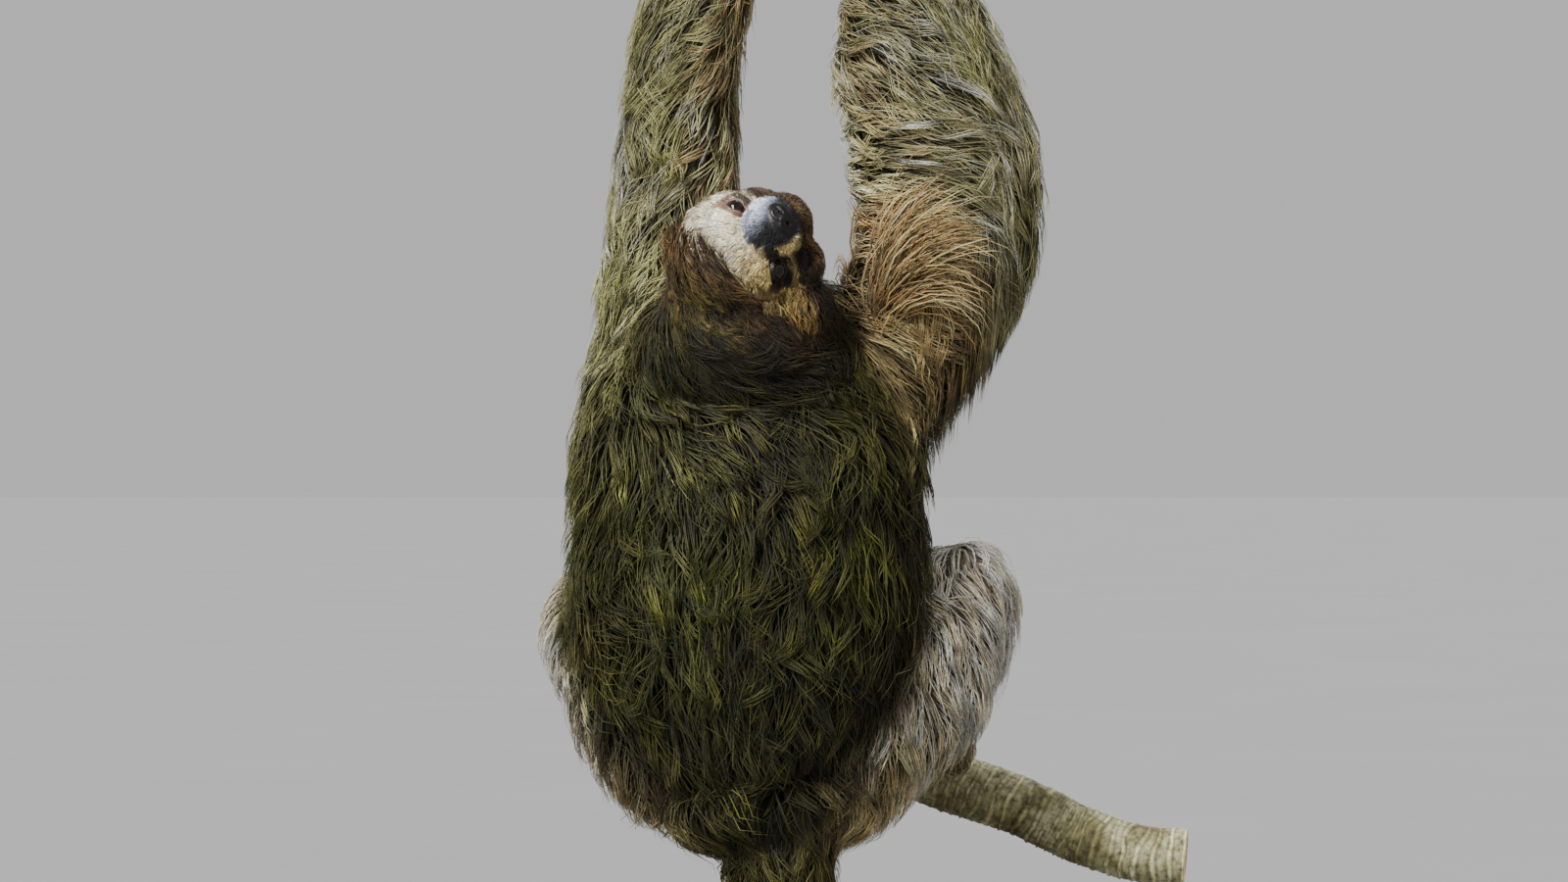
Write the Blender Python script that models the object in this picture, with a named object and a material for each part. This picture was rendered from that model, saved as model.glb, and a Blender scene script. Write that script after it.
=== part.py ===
"""A brown-throated three-toed sloth at life size, hanging by its arms with its head thrown back.

Metres, +Z up. The animal's back faces -Y, its left side is -X. The origin is on the underside of
the stand's base, below the body. Each named part of the body is one closed solid. Where two parts
meet, one is cut back from the other by GAP. The long coat is built as flat tapered locks, fused to
a core that stands for the dense underfur.
"""

import math
import random

import bmesh
import bpy
from mathutils import Matrix, Vector
from mathutils.bvhtree import BVHTree

GAP = 0.0003
SLIVER = 0.00001
PINCH = 0.0005
FLAT_ANGLES = (3.0, 1.0)
UNFLATTENED = ("perch", "eye", "stand")
MM = 0.001
SEED = 7

# How much of each outline the dense core takes up. The locks fill the rest, out to the tips
TRUNK_CORE = 0.905
LIMB_CORE = 0.82

# Trunk: height, centre y, half width and half depth of the coat's level sections
TRUNK = (
    (0.402, 0.012, 0.040, 0.031),
    (0.386, 0.010, 0.068, 0.048),
    (0.358, 0.007, 0.085, 0.062),
    (0.318, 0.003, 0.092, 0.070),
    (0.276, 0.000, 0.094, 0.074),
    (0.239, 0.000, 0.096, 0.077),
    (0.202, 0.000, 0.094, 0.077),
    (0.171, 0.000, 0.085, 0.071),
    (0.146, 0.000, 0.071, 0.060),
    (0.126, 0.000, 0.053, 0.046),
    (0.112, 0.000, 0.033, 0.031),
)
TRUNK_MIDDLE = Vector((-0.003, 0.0, 0.260))
TRUNK_TOP = 0.408
TRUNK_BOTTOM = 0.102
TRUNK_SIDES = 20

# Nape: centre and half sizes of the roll of flesh and coat behind the tilted head
NAPE_CENTRE = Vector((-0.005, -0.029, 0.362))
NAPE_SIZE = Vector((0.062, 0.045, 0.044))

# Limbs: x, y, z and the coat's radius along each limb. The elbow or knee is the station named
ARM_LEFT = (
    (-0.046, 0.008, 0.350, 0.0390),
    (-0.043, 0.006, 0.405, 0.0372),
    (-0.040, 0.003, 0.455, 0.0330),
    (-0.036, 0.000, 0.503, 0.0317),
    (-0.028, 0.000, 0.548, 0.0293),
    (-0.020, 0.004, 0.592, 0.0232),
    (-0.016, 0.009, 0.632, 0.0178),
)
ARM_RIGHT = (
    (0.050, 0.008, 0.350, 0.0440),
    (0.084, 0.002, 0.388, 0.0488),
    (0.0975, -0.003, 0.428, 0.0520),
    (0.0940, -0.006, 0.470, 0.0512),
    (0.0810, -0.002, 0.512, 0.0464),
    (0.0770, 0.003, 0.554, 0.0324),
    (0.0745, 0.011, 0.599, 0.0190),
)
LEG_LEFT = (
    (-0.038, 0.004, 0.158, 0.0450),
    (-0.062, 0.022, 0.190, 0.0410),
    (-0.081, 0.040, 0.222, 0.0330),
    (-0.070, 0.060, 0.216, 0.0287),
    (-0.056, 0.072, 0.204, 0.0226),
    (-0.044, 0.080, 0.192, 0.0178),
)
LEG_RIGHT = (
    (0.042, 0.002, 0.157, 0.0470),
    (0.079, 0.018, 0.192, 0.0452),
    (0.1035, 0.034, 0.237, 0.0336),
    (0.1085, 0.055, 0.214, 0.0293),
    (0.1060, 0.071, 0.192, 0.0232),
    (0.1030, 0.082, 0.172, 0.0178),
)
KNEE_ROUND = 0.95
HIP_ROUND = 0.8
DOME = ((0.50, 0.87), (0.85, 0.53))
ELBOW = 3
KNEE = 2
LIMB_SIDES = 14
STEPS_PER_SPAN = 2

# Tail: x, y, z and the coat's radius along the short tail that hangs under the rump
TAIL = (
    (0.010, -0.004, 0.132, 0.030),
    (0.013, -0.010, 0.108, 0.029),
    (0.0145, -0.014, 0.088, 0.0265),
    (0.016, -0.017, 0.066, 0.019),
    (0.017, -0.019, 0.050, 0.009),
)
TAIL_END = 0.010

# Head: the point between the eyes, and how the face is turned from looking at -Y
FACE_POINT = Vector((0.0015, -0.088, 0.4152))
HEAD_ROLL = 33.0
HEAD_PITCH = 25.0
HEAD_YAW = 2.0
# Masses of the head in its own frame (left, up, forward from FACE_POINT), with half sizes, in mm
CRANIUM = ((0, 2, -31), (34, 35, 36))
FACE_PLATE = ((0, -6, -9), (26, 24, 14))
MUZZLE = ((0, -8.5, 5.5), (15.2, 13.2, 15.5))
JAW = ((0, -22, -3), (14, 10, 18))
# The cheeks' long hair hangs, so that the right one stands out and the left one lies flat
CHEEK_RIGHT = ((-20, -18, -16), (15, 15, 18))
CHEEK_LEFT = ((11, -16, -17), (11, 11, 16))
BROW = ((14.5, 8.5, -1.5), (9, 5, 5))
HEAD_BLEND = 4.6
HEAD_RINGS = (8, 16, 25, 34, 43, 53, 64, 76, 89, 104, 120, 138, 158)
HEAD_SIDES = 24

EYE_CENTRE = Vector((17.2, 0.0, -3.0))
EYE_LOOK = Vector((0.50, 0.05, 0.86)).normalized()
EYE_RADIUS = 6.0
LID_THICKNESS = 1.5
LID_OPENING = (5.6, 3.5)
NOSE_CENTRE = Vector((0, -8.5, 14.8))
NOSE_SIZE = Vector((9.5, 7.0, 6.6))
NOSTRIL_OUT = 3.4
NOSTRIL_SIZE = Vector((1.5, 1.2, 2.6))
MOUTH_LINE = ((0, -16.5, 18.5), (7, -17.0, 15.5), (13, -17.8, 8), (18, -17.8, 0))
MOUTH_GROOVE = 0.9
EAR_PLACE = Vector((33.5, -4, -31))
EAR_SIZE = Vector((5.0, 7.5, 6.0))
EAR_CUP = 0.66

# Perches: the branch under the feet and the branch over the hands, with their radii
LOW_PERCH = (
    (-0.062, 0.110, 0.1590, 0.0155),
    (-0.020, 0.112, 0.1600, 0.0157),
    (0.020, 0.112, 0.1575, 0.0160),
    (0.060, 0.110, 0.1490, 0.0162),
    (0.102, 0.106, 0.1350, 0.0162),
    (0.139, 0.101, 0.1225, 0.0160),
    (0.170, 0.096, 0.1080, 0.0157),
    (0.200, 0.091, 0.0985, 0.0153),
    (0.226, 0.088, 0.0965, 0.0150),
)
HIGH_PERCH = (
    (-0.125, 0.032, 0.7190, 0.0158),
    (-0.070, 0.034, 0.7050, 0.0154),
    (-0.012, 0.034, 0.6900, 0.0150),
    (0.030, 0.035, 0.6790, 0.0150),
    (0.072, 0.034, 0.6670, 0.0146),
    (0.120, 0.032, 0.6560, 0.0142),
    (0.170, 0.030, 0.6400, 0.0138),
)
PERCH_SIDES = 12
PERCH_STEPS = 2

# Grips: the angles over the perch where the toes end, the claws end and the heel lies
HAND_ANGLES = (140.0, -28.0, 196.0)
FOOT_ANGLES = (104.0, -58.0, 158.0)
TOE_SPREAD = 0.0098
TOE_HEIGHT = 0.0105
TOE_WIDTH = 0.0082
CLAW_HEIGHT = 0.0066
CLAW_WIDTH = 0.0050
CLAW_TIP = 0.0011
CLAW_STEPS = 5
CLAW_LEAN = -0.25
TOE_TO_CLAW = 1.1
BAR_GAP = 3 * GAP
PALM_HEIGHT = 0.013
PALM_WIDTH = 0.029
WRIST_SIDES = 10

# Stand
BASE_SIZE = (0.320, 0.270, 0.018)
BASE_CENTRE = (0.012, 0.030)
BASE_CORNER = 0.050
BASE_BEVEL = 0.003
ROD_RADIUS = 0.006
PERCH_ROD_AT = (0.018, 0.112)
BODY_ROD_AT = (0.002, 0.036)

# Locks: length, width and thickness, and how high over the core the tips end
LOCK_BACK = (0.066, 0.034, 0.0050, 0.0105)
LOCK_ARM = (0.056, 0.026, 0.0044, 0.0085)
LOCK_FRINGE = (0.050, 0.027, 0.0040, 0.0060)
LOCK_LEG = (0.050, 0.026, 0.0042, 0.0075)
LOCK_TAIL = (0.046, 0.022, 0.0042, 0.0060)
LOCK_NAPE = (0.052, 0.028, 0.0046, 0.0085)
LOCK_CROWN = (0.034, 0.021, 0.0028, 0.0036)
# Along a lock: the share of its length, of its width, and of its rise over the core
LOCK_RINGS = ((0.00, 0.70, -0.45), (0.28, 1.00, 0.02), (0.56, 0.86, 0.42), (0.80, 0.55, 0.78), (1.00, 0.0, 1.0))
# Where they grow: the levels of the trunk's rows, locks in a row, and the head's rows and locks
TRUNK_ROWS = (0.372, 0.345, 0.318, 0.290, 0.262, 0.234, 0.206, 0.178, 0.154)
TRUNK_LOCKS = 11
CROWN_ROWS = ((60, 4), (84, 5), (108, 4))
# Along the right upper arm, in stations, and the way out to each root of the hanging fringe
FRINGE = (
    (0.35, (0.85, -0.35, -0.35)),
    (0.50, (0.80, 0.35, -0.45)),
    (0.75, (0.75, -0.30, -0.60)),
    (0.90, (0.80, 0.35, -0.55)),
    (1.15, (0.80, -0.35, -0.50)),
    (1.35, (0.85, 0.20, -0.50)),
    (1.60, (0.90, -0.25, -0.40)),
)
NAPE_LINE = ((-0.050, -0.024, 0.368, 0.02), (-0.005, -0.030, 0.362, 0.03), (0.045, -0.024, 0.366, 0.02))
LOCK_LIFTS = (0.0, 0.003, 0.006, 0.010)
LOCK_CUTS = (1.0, 0.78, 0.60)
LOCK_VARIES = 0.16
LOCK_CLEARANCE = 0.0007
LOCK_SINK = 0.004
LOCK_BEND = 0.30

COLOURS = {
    "coat": ((0.10, 0.085, 0.045), 0.85),
    "head": ((0.16, 0.10, 0.06), 0.85),
    "ear": ((0.10, 0.06, 0.04), 0.75),
    "eye": ((0.02, 0.012, 0.01), 0.12),
    "nose": ((0.03, 0.032, 0.04), 0.45),
    "claw": ((0.35, 0.29, 0.20), 0.40),
    "bark": ((0.25, 0.21, 0.16), 0.90),
    "stand": ((0.05, 0.05, 0.052), 0.50),
    "rod": ((0.45, 0.45, 0.46), 0.30),
}


def clear_scene():
    for thing in list(bpy.data.objects):
        bpy.data.objects.remove(thing)


def material(kind):
    found = bpy.data.materials.get(kind)
    if found:
        return found
    colour, roughness = COLOURS[kind]
    made = bpy.data.materials.new(kind)
    made.use_nodes = True
    shader = made.node_tree.nodes["Principled BSDF"]
    shader.inputs["Base Color"].default_value = (*colour, 1.0)
    shader.inputs["Roughness"].default_value = roughness
    shader.inputs["Metallic"].default_value = 1.0 if kind == "rod" else 0.0
    return made


def solid(name, points, faces, kind):
    """A mesh object from points and faces, with its faces pointing out."""
    mesh = bpy.data.meshes.new(name)
    mesh.from_pydata([tuple(p) for p in points], [], faces)
    shape = bmesh.new()
    shape.from_mesh(mesh)
    bmesh.ops.recalc_face_normals(shape, faces=shape.faces)
    bmesh.ops.triangulate(shape, faces=shape.faces)
    shape.to_mesh(mesh)
    shape.free()
    mesh.materials.append(material(kind))
    made = bpy.data.objects.new(name, mesh)
    bpy.context.scene.collection.objects.link(made)
    return made


def smooth_stations(stations, steps=STEPS_PER_SPAN):
    """Points with a radius, read from a Catmull-Rom curve through the stations."""
    rows = [Vector(s) for s in stations]
    rows = [rows[0] * 2 - rows[1], *rows, rows[-1] * 2 - rows[-2]]
    found = []
    for i in range(1, len(rows) - 2):
        a, b, c, d = rows[i - 1 : i + 3]
        for step in range(steps):
            t = step / steps
            found.append(
                0.5 * (2 * b + (c - a) * t + (2 * a - 5 * b + 4 * c - d) * t * t + (3 * b - a - 3 * c + d) * t**3)
            )
    found.append(rows[-2])
    return [(Vector(row[:3]), row[3]) for row in found]


def frames(centres, reference=Vector((0, 1, 0))):
    """At each centre the direction along the path, and two directions across it."""
    found = []
    for i, centre in enumerate(centres):
        ahead = centres[min(i + 1, len(centres) - 1)]
        behind = centres[max(i - 1, 0)]
        along = (ahead - behind).normalized()
        side = along.cross(reference).normalized()
        found.append((along, side, side.cross(along).normalized()))
    return found


def loft(name, rings, kind, low_pole=None, high_pole=None):
    """A closed skin over rings of points. An end with no pole is a flat cap."""
    sides = len(rings[0])
    points = [p for ring in rings for p in ring]
    faces = []
    for i in range(len(rings) - 1):
        for j in range(sides):
            k = (j + 1) % sides
            faces.append((i * sides + j, i * sides + k, (i + 1) * sides + k, (i + 1) * sides + j))
    for pole, start in ((low_pole, 0), (high_pole, (len(rings) - 1) * sides)):
        ring = [start + j for j in range(sides)]
        if pole is None:
            faces.append(tuple(ring))
        else:
            points.append(pole)
            faces += [(ring[j], ring[(j + 1) % sides], len(points) - 1) for j in range(sides)]
    return solid(name, points, faces, kind)


def domed(ring_of, centre, radius, along, reach):
    """Rings that close a tube with a dome, from its edge out, and the point that ends it."""
    rings = [[p + along * reach * rise for p in ring_of(centre, radius * size)] for rise, size in DOME]
    return rings, centre + along * reach


def limb(name, stations, kind="coat", sides=LIMB_SIDES, first=0, last=None, round_start=0, round_end=0):
    """A tube through stations of x, y, z and radius, with flat ends or round ones.

    With first it is only the far length of the tube, and starts GAP after that station.
    """
    placed = smooth_stations(stations)
    across = frames([c for c, _ in placed])
    last = len(stations) - 1 if last is None else last
    turns = [2 * math.pi * j / sides for j in range(sides)]
    rings = []
    low_pole = high_pole = None
    for i in range(first * STEPS_PER_SPAN, last * STEPS_PER_SPAN + 1):
        centre, radius = placed[i]
        along, side, up = across[i]

        def ring_of(middle, reach, side=side, up=up):
            return [middle + (side * math.cos(a) + up * math.sin(a)) * reach for a in turns]

        if not rings and first:
            centre = centre + along * GAP
        if not rings and round_start:
            caps, low_pole = domed(ring_of, centre, radius, -along, round_start)
            rings += reversed(caps)
        rings.append(ring_of(centre, radius))
        if round_end and i == last * STEPS_PER_SPAN:
            caps, high_pole = domed(ring_of, centre, radius, along, round_end)
            rings += caps
    return loft(name, rings, kind, low_pole, high_pole)


def ellipsoid(name, centre, size, kind, turn=None, rings=9, sides=18):
    turn = turn or Matrix.Identity(3)
    rows = []
    for i in range(1, rings):
        a = math.pi * i / rings
        rows.append(
            [
                centre
                + turn
                @ Vector(
                    (
                        size.x * math.sin(a) * math.cos(2 * math.pi * j / sides),
                        size.y * math.sin(a) * math.sin(2 * math.pi * j / sides),
                        -size.z * math.cos(a),
                    )
                )
                for j in range(sides)
            ]
        )
    low = centre + turn @ Vector((0, 0, -size.z))
    high = centre + turn @ Vector((0, 0, size.z))
    return loft(name, rows, kind, low, high)


def grown(source, by):
    """A hidden copy of a solid with its surface moved out, for use as a cutter."""
    copy = bpy.data.objects.new("cutter_" + source.name, source.data.copy())
    bpy.context.scene.collection.objects.link(copy)
    copy.hide_render = True
    copy.display_type = "WIRE"
    normals = [v.normal.copy() for v in copy.data.vertices]
    for vertex, normal in zip(copy.data.vertices, normals):
        vertex.co += normal * by
    return copy


def boolean(target, other, operation):
    """Applies a Boolean with an object or a collection, and removes that object or its objects.

    EXACT comes first, and MANIFOLD where its result isn't closed.
    """
    change = target.modifiers.new("join", "BOOLEAN")
    change.operation = operation
    if isinstance(other, bpy.types.Collection):
        change.operand_type = "COLLECTION"
        change.collection = other
        spent = list(other.objects)
    else:
        change.object = other
        spent = [other]
    for solver, merge in (("EXACT", SLIVER), ("MANIFOLD", SLIVER), ("MANIFOLD", 0.0)):
        change.solver = solver
        graph = bpy.context.evaluated_depsgraph_get()
        result = bpy.data.meshes.new_from_object(target.evaluated_get(graph))
        if tidy(result, merge):
            break
    target.modifiers.clear()
    target.data = result
    for thing in spent:
        bpy.data.objects.remove(thing)
    if isinstance(other, bpy.types.Collection):
        bpy.data.collections.remove(other)


def tidy(mesh, merge):
    """Merges the slivers that a Boolean leaves, makes every face a triangle, and says if it's closed."""
    shape = bmesh.new()
    shape.from_mesh(mesh)
    if merge:
        bmesh.ops.remove_doubles(shape, verts=shape.verts, dist=merge)
        bmesh.ops.dissolve_degenerate(shape, edges=shape.edges, dist=merge)
    bmesh.ops.triangulate(shape, faces=shape.faces)
    pinched = [e for e in shape.edges if len(e.link_faces) != 2 and e.calc_length() < PINCH]
    if pinched and merge:
        bmesh.ops.collapse(shape, edges=pinched)
        bmesh.ops.dissolve_degenerate(shape, edges=shape.edges, dist=merge)
    bmesh.ops.delete(shape, geom=[e for e in shape.edges if not e.link_faces], context="EDGES")
    bmesh.ops.delete(shape, geom=[v for v in shape.verts if not v.link_edges], context="VERTS")
    closed = len(shape.faces) > 0 and all(len(e.link_faces) == 2 for e in shape.edges)
    shape.to_mesh(mesh)
    shape.free()
    return closed


def cut(target, cutter):
    boolean(target, cutter, "DIFFERENCE")


def surface(thing):
    """A search tree over the faces of a solid."""
    points = [v.co for v in thing.data.vertices]
    return BVHTree.FromPolygons(points, [tuple(f.vertices) for f in thing.data.polygons])


def cut_clear(target, *others):
    """Cuts a solid back from each neighbour that it meets, leaving GAP between their faces."""
    for other in others:
        cutter = grown(other, GAP)
        if surface(target).overlap(surface(cutter)):
            cut(target, cutter)
        else:
            bpy.data.objects.remove(cutter)
    keep_largest(target)


def keep_largest(target):
    """Leaves only the closed surface that holds most of the faces."""
    shape = bmesh.new()
    shape.from_mesh(target.data)
    shape.faces.ensure_lookup_table()
    left = set(shape.faces)
    parts = []
    while left:
        seed = left.pop()
        part, edge_of_part = {seed}, [seed]
        while edge_of_part:
            face = edge_of_part.pop()
            for edge in face.edges:
                for near in edge.link_faces:
                    if near in left:
                        left.discard(near)
                        part.add(near)
                        edge_of_part.append(near)
        parts.append(part)
    parts.sort(key=lambda part: sum(f.calc_area() for f in part))
    spare = [face for part in parts[:-1] for face in part]
    bmesh.ops.delete(shape, geom=spare, context="FACES")
    bmesh.ops.triangulate(shape, faces=shape.faces)
    shape.to_mesh(target.data)
    shape.free()


def flatten(target):
    """Merges faces that lie almost in one plane, wherever the solid stays closed."""
    for angle in FLAT_ANGLES:
        shape = bmesh.new()
        shape.from_mesh(target.data)
        limit = math.radians(angle)
        bmesh.ops.dissolve_limit(shape, angle_limit=limit, verts=shape.verts, edges=shape.edges)
        bmesh.ops.triangulate(shape, faces=shape.faces)
        closed = all(len(e.link_faces) == 2 for e in shape.edges)
        if closed:
            shape.to_mesh(target.data)
        shape.free()
        if closed:
            return


def head_turn():
    """The head's left, up and forward directions as the columns of a rotation."""
    roll, pitch, yaw = (math.radians(a) for a in (HEAD_ROLL, HEAD_PITCH, HEAD_YAW))
    nose_way = Vector((math.cos(roll), 0, math.sin(roll)))
    left_way = Vector((-math.sin(roll), 0, math.cos(roll)))
    to_viewer = Vector((0, -1, 0))
    forward = to_viewer * math.cos(pitch) + nose_way * math.sin(pitch)
    up = to_viewer * math.sin(pitch) - nose_way * math.cos(pitch)
    left = left_way * math.cos(yaw) - forward * math.sin(yaw)
    forward = forward * math.cos(yaw) + left_way * math.sin(yaw)
    return Matrix((left, up, forward)).transposed()


HEAD_TURN = head_turn()


def head_place(point):
    """A point of the head's frame, in mm, as a place in the model."""
    return FACE_POINT + HEAD_TURN @ (Vector(point) * MM)


def mirrored(point, side):
    """side is 1 for the animal's left and -1 for its right."""
    return Vector((point[0] * side, point[1], point[2]))


def head_masses():
    single = (CRANIUM, FACE_PLATE, MUZZLE, JAW, CHEEK_RIGHT, CHEEK_LEFT)
    brows = [(mirrored(BROW[0], side), BROW[1]) for side in (1, -1)]
    return [(Vector(c), s) for c, s in single] + brows


def head_distance(point, masses):
    """Signed distance in mm to the blended masses of the head."""
    total = 0.0
    for centre, size in masses:
        d = point - centre
        scaled = Vector((d.x / size[0], d.y / size[1], d.z / size[2]))
        slope = Vector((d.x / size[0] ** 2, d.y / size[1] ** 2, d.z / size[2] ** 2))
        reach = scaled.length
        distance = reach * (reach - 1) / max(slope.length, 1e-6)
        total += math.exp(-distance / (HEAD_BLEND * 0.5))
    return -math.log(max(total, 1e-30)) * HEAD_BLEND * 0.5


def head_surface(direction, start, masses):
    low, high = 0.0, 90.0
    for _ in range(26):
        middle = (low + high) / 2
        if head_distance(start + direction * middle, masses) < 0:
            low = middle
        else:
            high = middle
    return start + direction * low


def make_head():
    masses = head_masses()
    start = Vector((0, -5, -20))
    rings = []
    for ring in HEAD_RINGS:
        a = math.radians(ring)
        row = []
        for j in range(HEAD_SIDES):
            b = 2 * math.pi * j / HEAD_SIDES
            way = Vector((math.sin(a) * math.cos(b), math.sin(a) * math.sin(b), math.cos(a)))
            row.append(head_place(head_surface(way, start, masses)))
        rings.append(row)
    front = head_place(head_surface(Vector((0, 0, 1)), start, masses))
    back = head_place(head_surface(Vector((0, 0, -1)), start, masses))
    return loft("head", rings, "head", front, back)


def look_turn(side):
    """A rotation whose Z looks out of the eye, and whose X runs along the lids."""
    look = mirrored(EYE_LOOK, side)
    across = Vector((0, 1, 0)).cross(look).normalized()
    return HEAD_TURN @ Matrix((across, look.cross(across), look)).transposed()


def add_lids(head):
    """A thick ring of lid round each eye, open in the shape of an almond."""
    for side in (1, -1):
        centre = head_place(mirrored(EYE_CENTRE, side))
        ball = Vector((1, 1, 1)) * (EYE_RADIUS + LID_THICKNESS) * MM
        boolean(head, ellipsoid("lid", centre, ball, "head", look_turn(side), 8, 14), "UNION")
        room = Vector((1, 1, 1)) * (EYE_RADIUS * MM + GAP)
        cut(head, ellipsoid("socket", centre, room, "head", look_turn(side), 8, 12))
        look = HEAD_TURN @ mirrored(EYE_LOOK, side)
        almond = Vector((LID_OPENING[0], LID_OPENING[1], 6.0)) * MM
        cut(head, ellipsoid("opening", centre + look * 6.0 * MM, almond, "head", look_turn(side), 6, 12))


def make_eyes():
    for side, name in ((1, "eye_left"), (-1, "eye_right")):
        centre = head_place(mirrored(EYE_CENTRE, side))
        ball = Vector((1, 1, 1)) * EYE_RADIUS * MM
        eye = ellipsoid(name, centre, ball, "eye", look_turn(side), 8, 12)
        eye.data.shade_smooth()


def cut_mouth(head):
    """The line of the mouth, as a groove from one corner round the muzzle to the other."""
    half = [Vector(p) for p in MOUTH_LINE]
    line = [mirrored(p, -1) for p in reversed(half[1:])] + half
    stations = [(*head_place(p), MOUTH_GROOVE * MM) for p in line]
    groove = limb("groove", stations, sides=6)
    cut(head, groove)


def make_nose(head):
    """The bare pad at the end of the muzzle, with two nostrils, set into the head."""
    centre = head_place(NOSE_CENTRE)
    nose = ellipsoid("nose", centre, NOSE_SIZE * MM, "nose", HEAD_TURN, 7, 14)
    cut(head, grown(nose, GAP))
    for side in (1, -1):
        place = Vector((NOSTRIL_OUT * side, NOSE_CENTRE.y - 0.8, NOSE_CENTRE.z + NOSE_SIZE.z * 0.93))
        cut(nose, ellipsoid("nostril", head_place(place), NOSTRIL_SIZE * MM, "nose", HEAD_TURN, 5, 8))
    keep_largest(nose)


def make_ears(head):
    """A small cup on each side of the head, deep in the coat."""
    ears = []
    for side, name in ((1, "ear_left"), (-1, "ear_right")):
        place = mirrored(EAR_PLACE, side)
        out = Vector((side, 0, 0.35)).normalized()
        ear = ellipsoid(name, head_place(place), EAR_SIZE * MM, "ear", HEAD_TURN, 6, 10)
        hollow = ellipsoid("hollow", head_place(place + out * 4.2), EAR_SIZE * EAR_CUP * MM, "ear", HEAD_TURN, 5, 8)
        cut(ear, hollow)
        cut_clear(ear, head)
        ears.append(ear)
    return ears


def make_trunk():
    rings = []
    for z, y, half_width, half_depth in TRUNK:
        row = []
        for j in range(TRUNK_SIDES):
            a = 2 * math.pi * j / TRUNK_SIDES
            row.append(trunk_core(half_width * math.cos(a), y + half_depth * math.sin(a), z))
        rings.append(row)
    top = trunk_core(0, TRUNK[0][1], TRUNK_TOP)
    bottom = trunk_core(0, TRUNK[-1][1], TRUNK_BOTTOM)
    return loft("torso", rings, "coat", top, bottom)


def trunk_core(x, y, z):
    """A point of the trunk's outline, drawn in to the dense core."""
    return TRUNK_MIDDLE + (Vector((x, y, z - TRUNK_MIDDLE.z)) * TRUNK_CORE)


def limb_core(stations):
    """A limb's stations with the coat's radius drawn in to the dense core."""
    return tuple((x, y, z, radius * LIMB_CORE) for x, y, z, radius in stations)


def make_limb_pair(stations, joint, upper_name, lower_name):
    """The two lengths of an arm or a leg, which meet at the elbow or under the round knee."""
    if joint == ELBOW:
        return limb(upper_name, stations, last=joint), limb(lower_name, stations, first=joint)
    knee, hip = stations[joint][3] * KNEE_ROUND, stations[0][3] * HIP_ROUND
    upper = limb(upper_name, stations[: joint + 1], round_start=hip, round_end=knee)
    return upper, limb(lower_name, stations[joint:])


def perch_point(stations, x):
    """Centre, radius and direction of a perch at a given x."""
    placed = smooth_stations(stations, PERCH_STEPS)
    for (a, radius), (b, _) in zip(placed, placed[1:]):
        if a.x <= x <= b.x:
            return a.lerp(b, (x - a.x) / (b.x - a.x)), radius, (b - a).normalized()
    raise ValueError(f"the perch does not reach x = {x}")


class Grip:
    """A place on a perch that toes close over. Angle 180 is on the animal's side, 90 is on top."""

    def __init__(self, stations, x):
        self.stations, self.x = stations, x
        self.along = perch_point(stations, x)[2]
        away = Vector((0, 1, 0))
        self.away = (away - self.along * away.dot(self.along)).normalized()
        self.up = self.along.cross(self.away) * (1 if self.along.cross(self.away).z > 0 else -1)

    def out(self, angle):
        a = math.radians(angle)
        return self.away * math.cos(a) + self.up * math.sin(a)

    def at(self, angle, height, offset):
        """A point at a height over the bark, at an angle round it and an offset along it."""
        centre, radius, _ = perch_point(self.stations, self.x + self.along.x * offset)
        return centre + self.out(angle) * (radius + height)


def curled_bar(name, grip, offset, angles, heights, widths, kind, sides=6, pointed=False, lean=0.0):
    """A bar of oval section that follows the perch round from angle to angle."""
    rings = []
    for angle, height, width in zip(angles, heights, widths):
        out = grip.out(angle)
        shift = offset * (1 + lean * (angles[0] - angle) / 180)
        centre = grip.at(angle, height / 2 + BAR_GAP, shift)
        turns = [2 * math.pi * (j + 0.5) / sides for j in range(sides)]
        rings.append([centre + out * (height / 2 * math.sin(a)) + grip.along * (width / 2 * math.cos(a)) for a in turns])
    pole = None
    if pointed:
        pole = grip.at(angles[-1] - 7, heights[-1] / 2 + BAR_GAP, offset * (1 + lean))
    return loft(name, rings, kind, high_pole=pole)


def claw(name, grip, offset, start, end):
    angles = [start + (end - start) * i / CLAW_STEPS for i in range(CLAW_STEPS + 1)]
    taper = [1 - (i / CLAW_STEPS) ** 1.6 for i in range(CLAW_STEPS + 1)]
    heights = [CLAW_TIP + (CLAW_HEIGHT - CLAW_TIP) * t for t in taper]
    widths = [CLAW_TIP + (CLAW_WIDTH - CLAW_TIP) * t for t in taper]
    curled_bar(name, grip, offset, angles, heights, widths, "claw", 6, True, CLAW_LEAN)


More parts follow.
